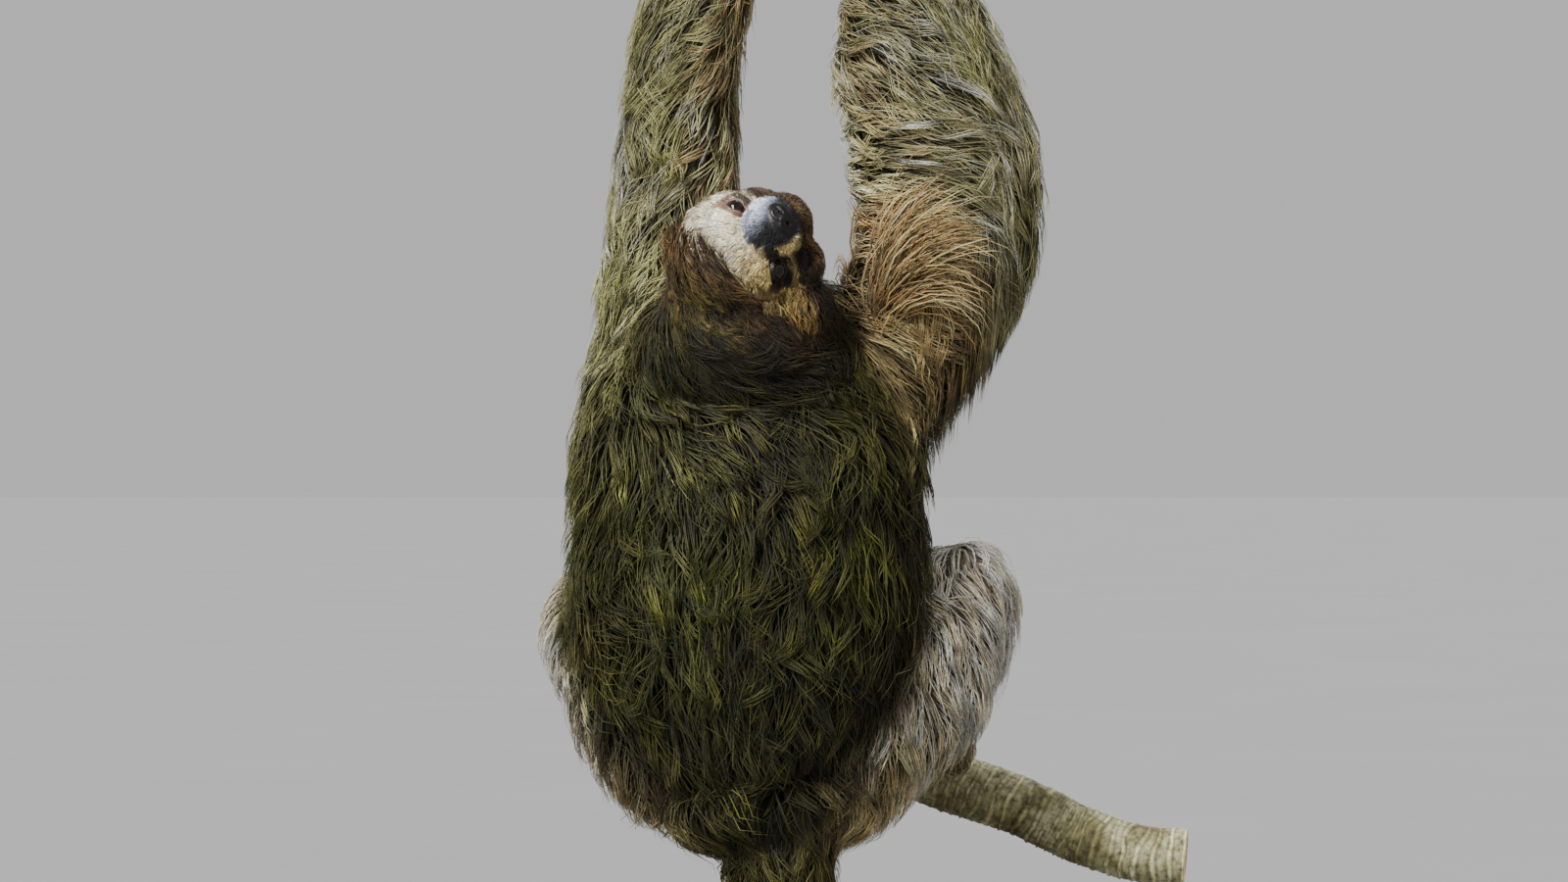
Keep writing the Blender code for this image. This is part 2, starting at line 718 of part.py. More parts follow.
def make_grip(name, limb_stations, grip, toe_angle, claw_end, heel_angle):
    """A hand or foot: the wrist or heel, a palm, and three toes that close over the perch."""
    placed = smooth_stations(limb_stations)
    start, radius = placed[-1]
    along, side, up = frames([c for c, _ in placed])[-1]
    heel = grip.at(heel_angle, PALM_HEIGHT / 2, 0)
    way = (heel - start).normalized()
    rings = []
    for share, size in ((0.0, 0.99), (0.45, 0.96), (1.0, 0.82)):
        centre = start.lerp(heel, share) + along * GAP
        if share:
            side = way.cross(grip.out(heel_angle)).normalized()
            if side.dot(frames([c for c, _ in placed])[-1][1]) < 0:
                side = -side
            up = side.cross(way)
        turns = [2 * math.pi * j / WRIST_SIDES for j in range(WRIST_SIDES)]
        rings.append([centre + (side * math.cos(a) + up * math.sin(a)) * radius * size for a in turns])
    hand = loft(name, rings, "coat", high_pole=heel + way * radius * 0.3)
    parts = bpy.data.collections.new("toes")
    palm_angles = [heel_angle + 6 + (toe_angle + 22 - heel_angle - 6) * i / 3 for i in range(4)]
    palm_heights = [PALM_HEIGHT * share for share in (0.75, 1.0, 0.95, 0.6)]
    palm_widths = [PALM_WIDTH * share for share in (0.75, 1.0, 1.0, 0.9)]
    pieces = [curled_bar("palm", grip, 0, palm_angles, palm_heights, palm_widths, "coat", 8)]
    for i in (-1, 0, 1):
        angles = [toe_angle + 34, toe_angle + 16, toe_angle]
        heights = [TOE_HEIGHT, TOE_HEIGHT, TOE_HEIGHT * 0.85]
        widths = [TOE_WIDTH, TOE_WIDTH, TOE_WIDTH * 0.85]
        pieces.append(curled_bar("toe", grip, TOE_SPREAD * i, angles, heights, widths, "coat", 6))
        start = toe_angle - TOE_TO_CLAW
        claw(f"{name}_claw_{i + 2}", grip, TOE_SPREAD * i, start, claw_end)
    for piece in pieces:
        bpy.context.scene.collection.objects.unlink(piece)
        parts.objects.link(piece)
    boolean(hand, parts, "UNION")
    return hand


def collar(point):
    """How strongly the hair sweeps round under the head, from 0 to 1."""
    height = math.exp(-(((point.z - 0.345) / 0.030) ** 2))
    return height if point.y < 0.02 else height * 0.3


def trunk_lie(point, normal):
    """The way the hair lies on the trunk: down, in to the rump, and round under the head."""
    sweep = collar(point) * (1.3 if point.x > -0.07 else 0.2)
    to_rump = max(0.0, (0.20 - point.z) / 0.08) * (0.012 - point.x) / 0.09
    return Vector((sweep + 0.9 * to_rump, -0.25 if normal.y > 0.3 else 0.0, -1.0))


def left_arm_lie(point, normal):
    return Vector((-0.45 if normal.y < 0.5 else -0.1, -0.15, -1.0))


def right_arm_lie(point, normal):
    """Combed over the arm from its inner side to its outer side, and then hanging down."""
    across = max(0.0, 1.0 - 1.6 * max(0.0, normal.x)) if normal.y < 0.6 else 0.2
    if point.z > 0.53 or normal.x < -0.75:
        across *= 0.3
    return Vector((1.25 * across, 0.0, -0.62 - 0.5 * max(0.0, normal.x)))


def nape_lie(point, normal):
    return Vector((0.9 if point.x > -0.045 else 0.1, -0.1, -0.8))


def leg_lie(point, normal):
    return Vector((0.12 * (1 if point.x > 0 else -1), 0.1, -1.0))


def tail_lie(point, normal):
    return Vector((0.0, 0.0, -1.0))


def crown_lie(point, normal):
    """Back from the brow and out to the sides, over the top of the head."""
    local = HEAD_TURN.transposed() @ (point - FACE_POINT)
    side = 1 if local.x > 0 else -1
    return HEAD_TURN @ Vector((0.9 * side, -0.35, -0.75))


def lying_path(root, normal, core, lie, sizes, lift, turn):
    """Points down a lock that lies along the coat: place, width way, outward way, width, thickness."""
    length, width, thickness, rise = sizes
    points = []
    here, out = root, normal
    before = 0.0
    for share, wide, height in LOCK_RINGS:
        way = lie(here, out)
        way = way - out * way.dot(out)
        way = Matrix.Rotation(turn * (0.4 + share), 3, out) @ way.normalized()
        here = here + way * length * (share - before)
        before = share
        found, out, _, _ = core.find_nearest(here)
        level = (here - found).dot(out)
        here = found + out * max(min(level, rise), 0.0) * 0.35
        centre = found + out * (height * rise + lift * max(0.0, share - 0.2))
        points.append((centre, way.cross(out).normalized(), out, width * wide, thickness))
    return points


def hanging_path(root, normal, core, lie, sizes, lift, turn):
    """Points down a lock that hangs free of the core, as under a raised arm."""
    length, width, thickness, rise = sizes
    flat = Vector((normal.x, normal.y, 0)).normalized()
    points = []
    for share, wide, height in LOCK_RINGS:
        out = flat.lerp(normal, (1 - share) * 0.5).normalized()
        away = flat * (rise + lift) * math.sin(math.pi * share * 0.6) + Vector((turn, 0, 0)) * length * share**2 * 0.5
        centre = root - normal * LOCK_SINK * (1.5 if share == 0 else 0) + away + Vector((0, 0, -1)) * length * share
        side = Vector((0, 0, -1)).cross(out).normalized()
        points.append((centre, side, out, width * wide, thickness))
    return points


def lock_shape(path, grow=0.0):
    """The points and faces of a lock: flat below, ridged above and pointed."""
    points = []
    for centre, side, out, width, thickness in path[:-1]:
        reach = width / 2 + grow
        points += [centre - side * reach - out * grow, centre + side * reach - out * grow]
        points.append(centre + out * (thickness + grow))
    tip = path[-1][0] + (path[-1][0] - path[-2][0]).normalized() * grow
    points.append(tip + path[-1][2] * path[-1][4] * 0.3)
    faces = [(2, 1, 0)]
    count = len(path) - 1
    for i in range(count - 1):
        a, b = 3 * i, 3 * i + 3
        faces += [(a + j, a + (j + 1) % 3, b + (j + 1) % 3, b + j) for j in range(3)]
    last = 3 * (count - 1)
    faces += [(last + j, last + (j + 1) % 3, 3 * count) for j in range(3)]
    return points, faces


def fitted_lock(path_of, root, normal, core, lie, sizes, turn, neighbours):
    """A lock that clears every neighbour, lifted or cut shorter where it must be, or None."""
    for cut_to in LOCK_CUTS:
        for lift in LOCK_LIFTS:
            shorter = (sizes[0] * cut_to, *sizes[1:])
            path = path_of(root, normal, core, lie, shorter, lift, turn)
            tested = BVHTree.FromPolygons(*lock_shape(path, LOCK_CLEARANCE))
            if not any(tested.overlap(tree) for tree in neighbours):
                return lock_shape(path)
    return None


def add_locks(node, crops, others, rng):
    """Grows locks from places round a node and joins them to it in one union.

    A crop is a list of places, a way to lie, the sizes of a lock and the kind of path.
    """
    core = surface(node)
    neighbours = [surface(other) for other in others if other is not node]
    locks = bpy.data.collections.new("locks")
    for roots, lie, sizes, path_of in crops:
        for start, way in roots:
            root, normal, _, _ = core.ray_cast(start + way * 0.25, -way, 0.25)
            if root is None:
                continue
            varied = [size * rng.uniform(1 - LOCK_VARIES, 1 + LOCK_VARIES) for size in sizes[:2]]
            turn = rng.uniform(-LOCK_BEND, LOCK_BEND)
            shape = fitted_lock(path_of, root, normal, core, lie, (*varied, *sizes[2:]), turn, neighbours)
            if shape is None:
                continue
            lock = solid("lock", *shape, "coat")
            bpy.context.scene.collection.objects.unlink(lock)
            locks.objects.link(lock)
    boolean(node, locks, "UNION")
    keep_largest(node)


def rows_round(centres, directions, count, rng, arc=(0.0, 360.0)):
    """Places in staggered rows round a line of centres: a start on the line and a way out from it."""
    roots = []
    for row, (centre, (_, side, up)) in enumerate(zip(centres, directions)):
        for i in range(count):
            share = (i + 0.5 * (row % 2) + rng.uniform(-0.15, 0.15)) / count
            a = math.radians(arc[0] + (arc[1] - arc[0]) * share)
            roots.append((centre, side * math.cos(a) + up * math.sin(a)))
    return roots


def limb_roots(stations, first, last, rows, count, rng, arc=(0.0, 360.0)):
    """Rows of roots along a limb, from one place on it to another, in stations."""
    placed = [c for c, _ in smooth_stations(stations, 8)]
    picked = [round(8 * (first + (last - first) * (i + 0.5) / rows)) for i in range(rows)]
    directions = frames(placed)
    return rows_round([placed[i] for i in picked], [directions[i] for i in picked], count, rng, arc)


def make_perch(name, stations):
    """A cut length of branch, with its swellings where twigs have dropped."""
    placed = smooth_stations(stations, PERCH_STEPS)
    centres = [c for c, _ in placed]
    rings = []
    for i, ((centre, radius), (_, side, up)) in enumerate(zip(placed, frames(centres, Vector((0, 0, 1))))):
        knot = 1.0 + 0.05 * max(0.0, math.cos(i * 1.9))
        row = []
        for j in range(PERCH_SIDES):
            a = 2 * math.pi * j / PERCH_SIDES
            bump = 1 + 0.025 * math.sin(3 * a + i)
            reach = radius if grip_zone(name, centre) else radius * knot * bump
            row.append(centre + (side * math.cos(a) + up * math.sin(a)) * reach)
        rings.append(row)
    return loft(name, rings, "bark")


GRIPS = {
    "hand_left": (HIGH_PERCH, -0.012),
    "hand_right": (HIGH_PERCH, 0.072),
    "foot_left": (LOW_PERCH, -0.016),
    "foot_right": (LOW_PERCH, 0.098),
}


def grip_zone(name, centre):
    """Whether toes close on this stretch of the perch, which is kept even for them."""
    reach = TOE_SPREAD * 2.2
    stations = HIGH_PERCH if name == "perch_high" else LOW_PERCH
    return any(rows is stations and abs(x - centre.x) < reach for rows, x in GRIPS.values())


def make_stand(low_perch, torso):
    width, depth, thickness = BASE_SIZE
    outline = []
    for corner in range(4):
        x = (width / 2 - BASE_CORNER) * (1 if corner in (0, 3) else -1)
        y = (depth / 2 - BASE_CORNER) * (1 if corner in (0, 1) else -1)
        for step in range(7):
            a = math.radians(90 * corner + 15 * step)
            outline.append((x + BASE_CORNER * math.cos(a), y + BASE_CORNER * math.sin(a)))
    middle = Vector((*BASE_CENTRE, 0))
    levels = ((0.0, 0.0), (thickness - BASE_BEVEL, 0.0), (thickness, BASE_BEVEL))
    rings = []
    for z, inset in levels:
        share = 1 - inset / (depth / 2)
        rings.append([middle + Vector((x * share, y * share, z)) for x, y in outline])
    loft("stand_base", rings, "stand")
    rods = (("stand_rod_perch", PERCH_ROD_AT, low_perch), ("stand_rod_body", BODY_ROD_AT, torso))
    for name, (x, y), carried in rods:
        top = carried.bound_box[1][2] if carried is torso else 0.160
        top = max(top, 0.150)
        stations = ((x, y, thickness + GAP, ROD_RADIUS), (x, y, 0.08, ROD_RADIUS), (x, y, top, ROD_RADIUS))
        rod = limb(name, stations, "rod", sides=18)
        cutter = grown(carried, GAP)
        cut(rod, cutter)
        keep_lowest(rod)


def keep_lowest(target):
    """Of the pieces that a cut leaves, keeps the one that stands on the base."""
    shape = bmesh.new()
    shape.from_mesh(target.data)
    shape.verts.ensure_lookup_table()
    start = min(shape.verts, key=lambda v: v.co.z)
    reached, to_visit = {start}, [start]
    while to_visit:
        for edge in to_visit.pop().link_edges:
            for vertex in edge.verts:
                if vertex not in reached:
                    reached.add(vertex)
                    to_visit.append(vertex)
    bmesh.ops.delete(shape, geom=[v for v in shape.verts if v not in reached], context="VERTS")
    shape.to_mesh(target.data)
    shape.free()


def add_coat():
    """Locks for every furred part, each clear of all the others."""
    rng = random.Random(SEED)
    made = {thing.name: thing for thing in bpy.data.objects if not thing.name.startswith("stand_base")}
    down = (Vector((0, 0, -1)), Vector((1, 0, 0)), Vector((0, 1, 0)))
    levels = [TRUNK_MIDDLE + Vector((0, 0, z - TRUNK_MIDDLE.z)) for z in TRUNK_ROWS]
    trunk_roots = rows_round(levels, [down] * len(levels), TRUNK_LOCKS, rng)
    coats = {
        "head": [(crown_roots(rng), crown_lie, LOCK_CROWN, lying_path)],
        "torso": [(trunk_roots, trunk_lie, LOCK_BACK, lying_path)],
        "neck": [(limb_roots(NAPE_LINE, 0, 2, 3, 5, rng, (180.0, 360.0)), nape_lie, LOCK_NAPE, lying_path)],
        "arm_left_upper": [(limb_roots(ARM_LEFT, 0.9, 3.0, 4, 5, rng), left_arm_lie, LOCK_ARM, lying_path)],
        "arm_left_fore": [(limb_roots(ARM_LEFT, 3.4, 6.0, 3, 4, rng), left_arm_lie, LOCK_ARM, lying_path)],
        "arm_right_upper": [
            (limb_roots(ARM_RIGHT, 1.0, 3.0, 4, 6, rng), right_arm_lie, LOCK_ARM, lying_path),
            (fringe_roots(), None, LOCK_FRINGE, hanging_path),
        ],
        "arm_right_fore": [(limb_roots(ARM_RIGHT, 3.4, 6.0, 3, 5, rng), right_arm_lie, LOCK_ARM, lying_path)],
        "leg_left_thigh": [(limb_roots(LEG_LEFT, 0.3, 2.1, 3, 5, rng), leg_lie, LOCK_LEG, lying_path)],
        "leg_right_thigh": [(limb_roots(LEG_RIGHT, 0.3, 2.1, 3, 6, rng), leg_lie, LOCK_LEG, lying_path)],
        "leg_left_shin": [(limb_roots(LEG_LEFT, 3.2, 4.4, 1, 4, rng), leg_lie, LOCK_LEG, lying_path)],
        "leg_right_shin": [(limb_roots(LEG_RIGHT, 3.2, 4.4, 1, 4, rng), leg_lie, LOCK_LEG, lying_path)],
        "tail": [(limb_roots(TAIL, 0.7, 3.2, 2, 4, rng), tail_lie, LOCK_TAIL, lying_path)],
    }
    for name, crops in coats.items():
        add_locks(made[name], crops, made.values(), rng)
    for name, thing in made.items():
        if not name.startswith(UNFLATTENED):
            flatten(thing)


def fringe_roots():
    """Places along the outer underside of the right upper arm, where long hair hangs free."""
    placed = [c for c, _ in smooth_stations(ARM_RIGHT, 8)]
    return [(placed[round(at * 8)], Vector(way).normalized()) for at, way in FRINGE]


def crown_roots(rng):
    """Places over the top and back of the head, clear of the face."""
    centre = head_place(CRANIUM[0])
    roots = []
    for tilt, count in CROWN_ROWS:
        for i in range(count):
            a = math.radians(180 * (i + 0.5 + rng.uniform(-0.15, 0.15)) / count)
            b = math.radians(tilt)
            local = Vector((math.cos(a) * math.sin(b), math.sin(a) * math.sin(b), math.cos(b)))
            roots.append((centre, (HEAD_TURN @ local).normalized()))
    return roots


def main():
    clear_scene()
    head = make_head()
    add_lids(head)
    make_eyes()
    cut_mouth(head)
    make_nose(head)
    keep_largest(head)
    flesh = [head, *make_ears(head)]
    torso = make_trunk()
    neck = ellipsoid("neck", NAPE_CENTRE, NAPE_SIZE * TRUNK_CORE, "coat", None, 7, 16)
    tail = limb("tail", limb_core(TAIL), sides=12, round_end=TAIL_END * LIMB_CORE)
    for body in (torso, neck, tail):
        cut_clear(body, *flesh)
        flesh.append(body)
    low_perch = make_perch("perch_low", LOW_PERCH)
    high_perch = make_perch("perch_high", HIGH_PERCH)
    limbs = (
        (ARM_LEFT, ELBOW, "arm_left_upper", "arm_left_fore", "hand_left", high_perch),
        (ARM_RIGHT, ELBOW, "arm_right_upper", "arm_right_fore", "hand_right", high_perch),
        (LEG_LEFT, KNEE, "leg_left_thigh", "leg_left_shin", "foot_left", low_perch),
        (LEG_RIGHT, KNEE, "leg_right_thigh", "leg_right_shin", "foot_right", low_perch),
    )
    for stations, joint, upper_name, lower_name, end_name, perch in limbs:
        upper, lower = make_limb_pair(limb_core(stations), joint, upper_name, lower_name)
        for length in (upper, lower):
            cut_clear(length, *flesh)
            flesh.append(length)
        angles = HAND_ANGLES if perch is high_perch else FOOT_ANGLES
        end = make_grip(end_name, limb_core(stations), Grip(*GRIPS[end_name]), *angles)
        cut_clear(end, perch, *flesh)
        flesh.append(end)
    make_stand(low_perch, torso)
    add_coat()


main()
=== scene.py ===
"""Looks of a three-toed sloth model that hangs over its display stand.

One skin stands in for the flesh of the body and the head. The coat over it is solid mesh: fine
tapered tufts, gathered in clumps and laid along the way the hair lies. Metres, in the frame of the
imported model. The animal's back faces -Y and its left side is -X.
"""

import math

import bmesh
import bpy
import numpy as np
from mathutils import Matrix, Vector
from mathutils.bvhtree import BVHTree
from mathutils.kdtree import KDTree


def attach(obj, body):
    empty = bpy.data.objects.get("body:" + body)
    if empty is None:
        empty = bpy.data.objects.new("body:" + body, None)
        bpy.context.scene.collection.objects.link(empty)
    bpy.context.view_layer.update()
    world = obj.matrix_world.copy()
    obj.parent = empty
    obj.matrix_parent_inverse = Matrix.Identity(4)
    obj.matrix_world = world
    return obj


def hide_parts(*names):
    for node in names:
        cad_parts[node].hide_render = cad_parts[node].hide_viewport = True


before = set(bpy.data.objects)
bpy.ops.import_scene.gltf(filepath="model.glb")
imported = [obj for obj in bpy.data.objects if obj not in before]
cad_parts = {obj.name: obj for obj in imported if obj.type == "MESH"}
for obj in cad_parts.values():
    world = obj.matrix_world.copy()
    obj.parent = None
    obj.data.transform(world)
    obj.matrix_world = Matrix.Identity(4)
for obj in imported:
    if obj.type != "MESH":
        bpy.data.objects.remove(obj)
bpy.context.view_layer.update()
MM = 0.001
CM2_IN_M2 = 10000

# Coat outlines, as in the solids. Trunk: height, centre y, half width and half depth
TRUNK = np.array(
    (
        (0.402, 0.012, 0.040, 0.031),
        (0.386, 0.010, 0.068, 0.048),
        (0.358, 0.007, 0.085, 0.062),
        (0.318, 0.003, 0.092, 0.070),
        (0.276, 0.000, 0.094, 0.074),
        (0.239, 0.000, 0.096, 0.077),
        (0.202, 0.000, 0.094, 0.077),
        (0.171, 0.000, 0.085, 0.071),
        (0.146, 0.000, 0.071, 0.060),
        (0.126, 0.000, 0.053, 0.046),
        (0.112, 0.000, 0.033, 0.031),
    )
)
TRUNK_MIDDLE = np.array((-0.003, 0.0, 0.260))
TRUNK_TOP = (0, 0.012, 0.408)
TRUNK_BOTTOM = (0, 0, 0.102)
NAPE_CENTRE = np.array((-0.005, -0.029, 0.362))
NAPE_SIZE = np.array((0.062, 0.045, 0.044))
# Flesh that fills the folds under the head and round the tail's root
HEAD_BRIDGE = (-0.004, -0.047, 0.376)
HEAD_BRIDGE_SIZE = (0.042, 0.032, 0.034)
RUMP = (0.009, -0.002, 0.128)
RUMP_SIZE = (0.050, 0.042, 0.026)
# Limbs and tail: x, y, z and the coat's radius
LIMBS = {
    "arm_left": (
        (-0.046, 0.008, 0.350, 0.0390),
        (-0.043, 0.006, 0.405, 0.0372),
        (-0.040, 0.003, 0.455, 0.0330),
        (-0.036, 0.000, 0.503, 0.0317),
        (-0.028, 0.000, 0.548, 0.0293),
        (-0.020, 0.004, 0.592, 0.0232),
        (-0.016, 0.009, 0.632, 0.0178),
    ),
    "arm_right": (
        (0.050, 0.008, 0.350, 0.0440),
        (0.084, 0.002, 0.388, 0.0488),
        (0.0975, -0.003, 0.428, 0.0520),
        (0.0940, -0.006, 0.470, 0.0512),
        (0.0810, -0.002, 0.512, 0.0464),
        (0.0770, 0.003, 0.554, 0.0324),
        (0.0745, 0.011, 0.599, 0.0190),
    ),
    "leg_left": (
        (-0.038, 0.004, 0.158, 0.0450),
        (-0.062, 0.022, 0.190, 0.0410),
        (-0.081, 0.040, 0.222, 0.0330),
        (-0.070, 0.060, 0.216, 0.0287),
        (-0.056, 0.072, 0.204, 0.0226),
        (-0.044, 0.080, 0.192, 0.0178),
    ),
    "leg_right": (
        (0.042, 0.002, 0.157, 0.0470),
        (0.079, 0.018, 0.192, 0.0452),
        (0.1035, 0.034, 0.237, 0.0336),
        (0.1085, 0.055, 0.214, 0.0293),
        (0.1060, 0.071, 0.192, 0.0232),
        (0.1030, 0.082, 0.172, 0.0178),
    ),
    "tail": (
        (0.010, -0.004, 0.134, 0.038),
        (0.013, -0.010, 0.110, 0.034),
        (0.0145, -0.014, 0.088, 0.0285),
        (0.016, -0.017, 0.066, 0.019),
        (0.017, -0.019, 0.050, 0.009),
    ),
}
# Points of a limb's curve from one station to the next, and the knee's place among them
LIMB_STEPS = 3
KNEE = 6
PARTS = ("torso", "nape", "arm_left", "arm_right", "leg_left", "leg_right", "tail", "head")
HEAD = PARTS.index("head")

# The skin: its size against the coat's, and how finely it is made
SKIN_TRUNK = 0.86
SKIN_NAPE = 0.80
SKIN_LIMB = 0.74
SKIN_WRIST = 0.80
INTO_PAW = 0.006
TRUNK_RINGS = 40
TRUNK_SIDES = 36
LIMB_SIDES = 24
SKIN_VOXEL = 0.003
SKIN_SMOOTHING = 8
PAWS = ("hand_left", "hand_right", "foot_left", "foot_right")
FLESH = ["torso", "neck", "tail", "head", "nose", *PAWS]
FLESH += [f"arm_{s}_{p}" for s in ("left", "right") for p in ("upper", "fore")]
FLESH += [f"leg_{s}_{p}" for s in ("left", "right") for p in ("thigh", "shin")]

# Head: the point between the eyes and its turn in degrees. All else of it is in mm: left, up, forward
FACE_POINT = Vector((0.0015, -0.088, 0.4152))
HEAD_ROLL = 33.0
HEAD_PITCH = 25.0
HEAD_YAW = 2.0
# Middle, half size, and how deep the coat is over each mass, so that the skin lies that far inside
HEAD_MASSES = (
    ((0, 2, -31), (34, 35, 36), 5.5),
    ((0, -6, -9), (26, 24, 14), 1.2),
    ((0, -8.5, 5.5), (15.2, 13.2, 15.5), 0.4),
    ((0, -22, -3), (14, 10, 18), 2.0),
    ((-20, -18, -16), (15, 15, 18), 3.5),
    ((11, -16, -17), (11, 11, 16), 3.5),
    ((14.5, 8.5, -1.5), (9, 5, 5), 1.0),
    ((-14.5, 8.5, -1.5), (9, 5, 5), 1.0),
    ((-37, -11, -18), (19, 15, 14), 6.5),
    ((23, 17, -36), (13, 12, 14), 5.5),
)
HEAD_BLEND = 2.3
HEAD_START = np.array((0.0, -5.0, -20.0))
HEAD_REACH = 90.0
HEAD_RELIEF = 4.5
HEAD_STRIDE = 0.4
HEAD_RINGS = 190
HEAD_SIDES = 250
EYE_CENTRE = np.array((17.2, 0.0, -3.0))
EYE_LOOK = np.array((0.50, 0.05, 0.86)) / np.linalg.norm((0.50, 0.05, 0.86))
EYE_RADIUS = 6.0
EYE_SLANT = 18.0
LID_THICKNESS = 0.75
NOSE_CENTRE = np.array((0.0, -8.5, 14.8))
NOSE_SIZE = np.array((9.5, 7.0, 6.6))
PHILTRUM = ((0, -13.0, 21.0), (0, -17.0, 19.0))
MOUTH_LINE = ((0, -15.8, 19), (7, -16.0, 16), (13, -17.0, 8), (18.5, -16.8, 2), (23.5, -14.5, -2))
EAR_CENTRE = np.array((31.5, -4.0, -31.0))
EAR_SIZE = np.array((4.25, 6.375, 5.1))
# The dark stripe from each eye over the cheek, and the tan line beside the right one
MASK_STRIPE = (
    (9.5, 1.4, 9.0),
    (20, -1.0, 2.0),
    (28.5, -5.5, -5.0),
    (35.5, -6.7, -4.5),
    (44, -7.5, -5.6),
    (53, -9, -10),
)
TAN_LINE = (
    (7.6, -1.8, 16.4),
    (16, -5.7, 5.7),
    (23.2, -8.0, -0.3),
    (30.8, -9.6, -4.5),
    (37.5, -10.9, -4.0),
    (45, -12, -5.4),
)

# Branches: x, y, z and radius
LOW_PERCH = (
    (-0.062, 0.110, 0.1590, 0.0155),
    (-0.020, 0.112, 0.1600, 0.0157),
    (0.020, 0.112, 0.1575, 0.0160),
    (0.060, 0.110, 0.1490, 0.0162),
    (0.102, 0.106, 0.1350, 0.0162),
    (0.139, 0.101, 0.1225, 0.0160),
    (0.170, 0.096, 0.1080, 0.0157),
    (0.200, 0.091, 0.0985, 0.0153),
    (0.226, 0.088, 0.0965, 0.0150),
)
HIGH_PERCH = (
    (-0.125, 0.032, 0.7190, 0.0158),
    (-0.070, 0.034, 0.7050, 0.0154),
    (-0.012, 0.034, 0.6900, 0.0150),
    (0.030, 0.035, 0.6790, 0.0150),
    (0.072, 0.034, 0.6670, 0.0146),
    (0.120, 0.032, 0.6560, 0.0142),
    (0.170, 0.030, 0.6400, 0.0138),
)
PERCH_STEPS = 36
PERCH_SIDES = 88
RING_SPACING = 0.0062
# Rings of grain on a sawn end, as shares of its radius
GRAIN_RINGS = (0.93, 0.75, 0.5, 0.22)
SAWN_TINT = np.array((1.75, 1.45, 1.0))
PITH_TINT = np.array(((1.2, 1.0, 0.7),))

# Where the hair starts out in whorls, as the middle, its reach and its strength
SHOULDER_WHORL = ((-0.049, -0.055, 0.350), 0.030, 1.3)
ARM_LEFT_WHORL = ((-0.018, -0.02, 0.485), 0.018, 1.0)
ARM_RIGHT_WHORL = ((0.031, -0.040, 0.393), 0.058, 2.2)
# Where the coat is thicker, as the middle and its reach: under the cheek, and left of the crown
THICK_SPOTS = (((0.046, -0.040, 0.390), 0.028), ((-0.032, -0.065, 0.369), 0.022))

# Each tuft's patch in OFBake, and the share of the map's width that the patches' middles fill
PATCH = 0.003
CHART_SHARE = 0.96
MOST_TRIANGLES = 190000
ROOT_DEPTH = 0.0008
# Crops of tufts, in the order in which they grow. Where seven values are given, they are for torso,
# nape, left arm, right arm, legs, tail and head. Lengths and widths in mm. Shares: where along a
# tuft its rings are. Level: how high the tips lie in the coat's depth. Stray: how far the lie turns
# at random. Loose: how far the tips hang free. Clumps: the share of tufts that lead the rest, and
# how far clumps and then locks draw together. Weight: how steeply the free tips hang
FIVE_RINGS = (0, 0.24, 0.50, 0.76, 1)
CROPS = {
    "under": {
        "per_cm2": (2.8, 2.4, 3.0, 3.0, 3.0, 3.6, 0),
        "length": (26, 20, 24, 24, 20, 24, 11),
        "width": (2.8, 2.2, 2.6, 2.6, 2.4, 2.4, 1.8),
        "shares": (0, 0.35, 0.7, 1),
        "level": (0.10, 0.45),
        "stray": 0.22,
        "loose": 0.0,
        "clumps": (0.2, 0.1, 0.0),
        # A dark under layer: painted shade deep in the coat
        "bright": 0.42,
        "weight": 0.7,
    },
    "coat": {
        "per_cm2": (15.5, 19, 17, 15.5, 17, 17, 54),
        "length": (38, 36, 34, 38, 24, 36, 17),
        "width": (0.88, 0.82, 0.80, 0.84, 0.74, 0.80, 0.50),
        "shares": FIVE_RINGS,
        "level": (0.15, 1.30),
        "stray": 0.26,
        "loose": 0.8,
        "clumps": (0.130, 0.80, 0.36),
        "bright": 1.9,
        "weight": 0.7,
    },
    "over": {
        "per_cm2": (2.2, 2.8, 3.0, 2.8, 2.2, 2.0, 9),
        "length": (50, 42, 42, 44, 30, 34, 16),
        "width": (0.55, 0.52, 0.52, 0.52, 0.46, 0.52, 0.36),
        "shares": FIVE_RINGS,
        "level": (0.85, 1.2),
        "stray": 0.36,
        "loose": 0.9,
        "clumps": (0.3, 0.3, 0.15),
        "bright": 2.3,
        "weight": 0.7,
    },
    "fringe": {
        "per_cm2": (12, 0, 0, 14, 0, 0, 0),
        "length": 40,
        "width": 1.0,
        "shares": FIVE_RINGS,
        "level": (0.7, 1.1),
        "stray": 0.20,
        "loose": 1.0,
        "clumps": (0.12, 0.6, 0.55),
        "bright": 0.9,
        "weight": 2.4,
    },
    "face": {
        "per_cm2": (0, 0, 0, 0, 0, 0, 210),
        "length": (5, 5, 5, 5, 5, 5, 6),
        "width": (0.5, 0.5, 0.5, 0.5, 0.5, 0.5, 0.36),
        "shares": (0, 0.5, 1),
        "level": (0.6, 1.15),
        "stray": 0.20,
        "loose": 0.10,
        "clumps": (0.12, 0.35, 0.0),
        "bright": 1.3,
        "weight": 0.7,
    },
}
LAST_CROP_BEFORE_CURL = "fringe"
COAT_SEED = 23
# By part: how wavy the tufts are, how bright, and how bright their roots are against their tips, the roots
# darkened as painted shade deep in the coat
UNRULY = (1.0, 0.9, 0.65, 0.65, 0.6, 0.7, 0.6)
BRIGHTNESS = (0.95, 0.9, 0.84, 0.88, 0.90, 1.0, 0.80)
PAINTED_ROOT_SHADE = (0.12, 0.12, 0.12, 0.12, 0.50, 0.12, 0.12)
# How far the shade of clumps, of locks and of single tufts strays
SHADE_SPREADS = (0.36, 0.22, 0.18)

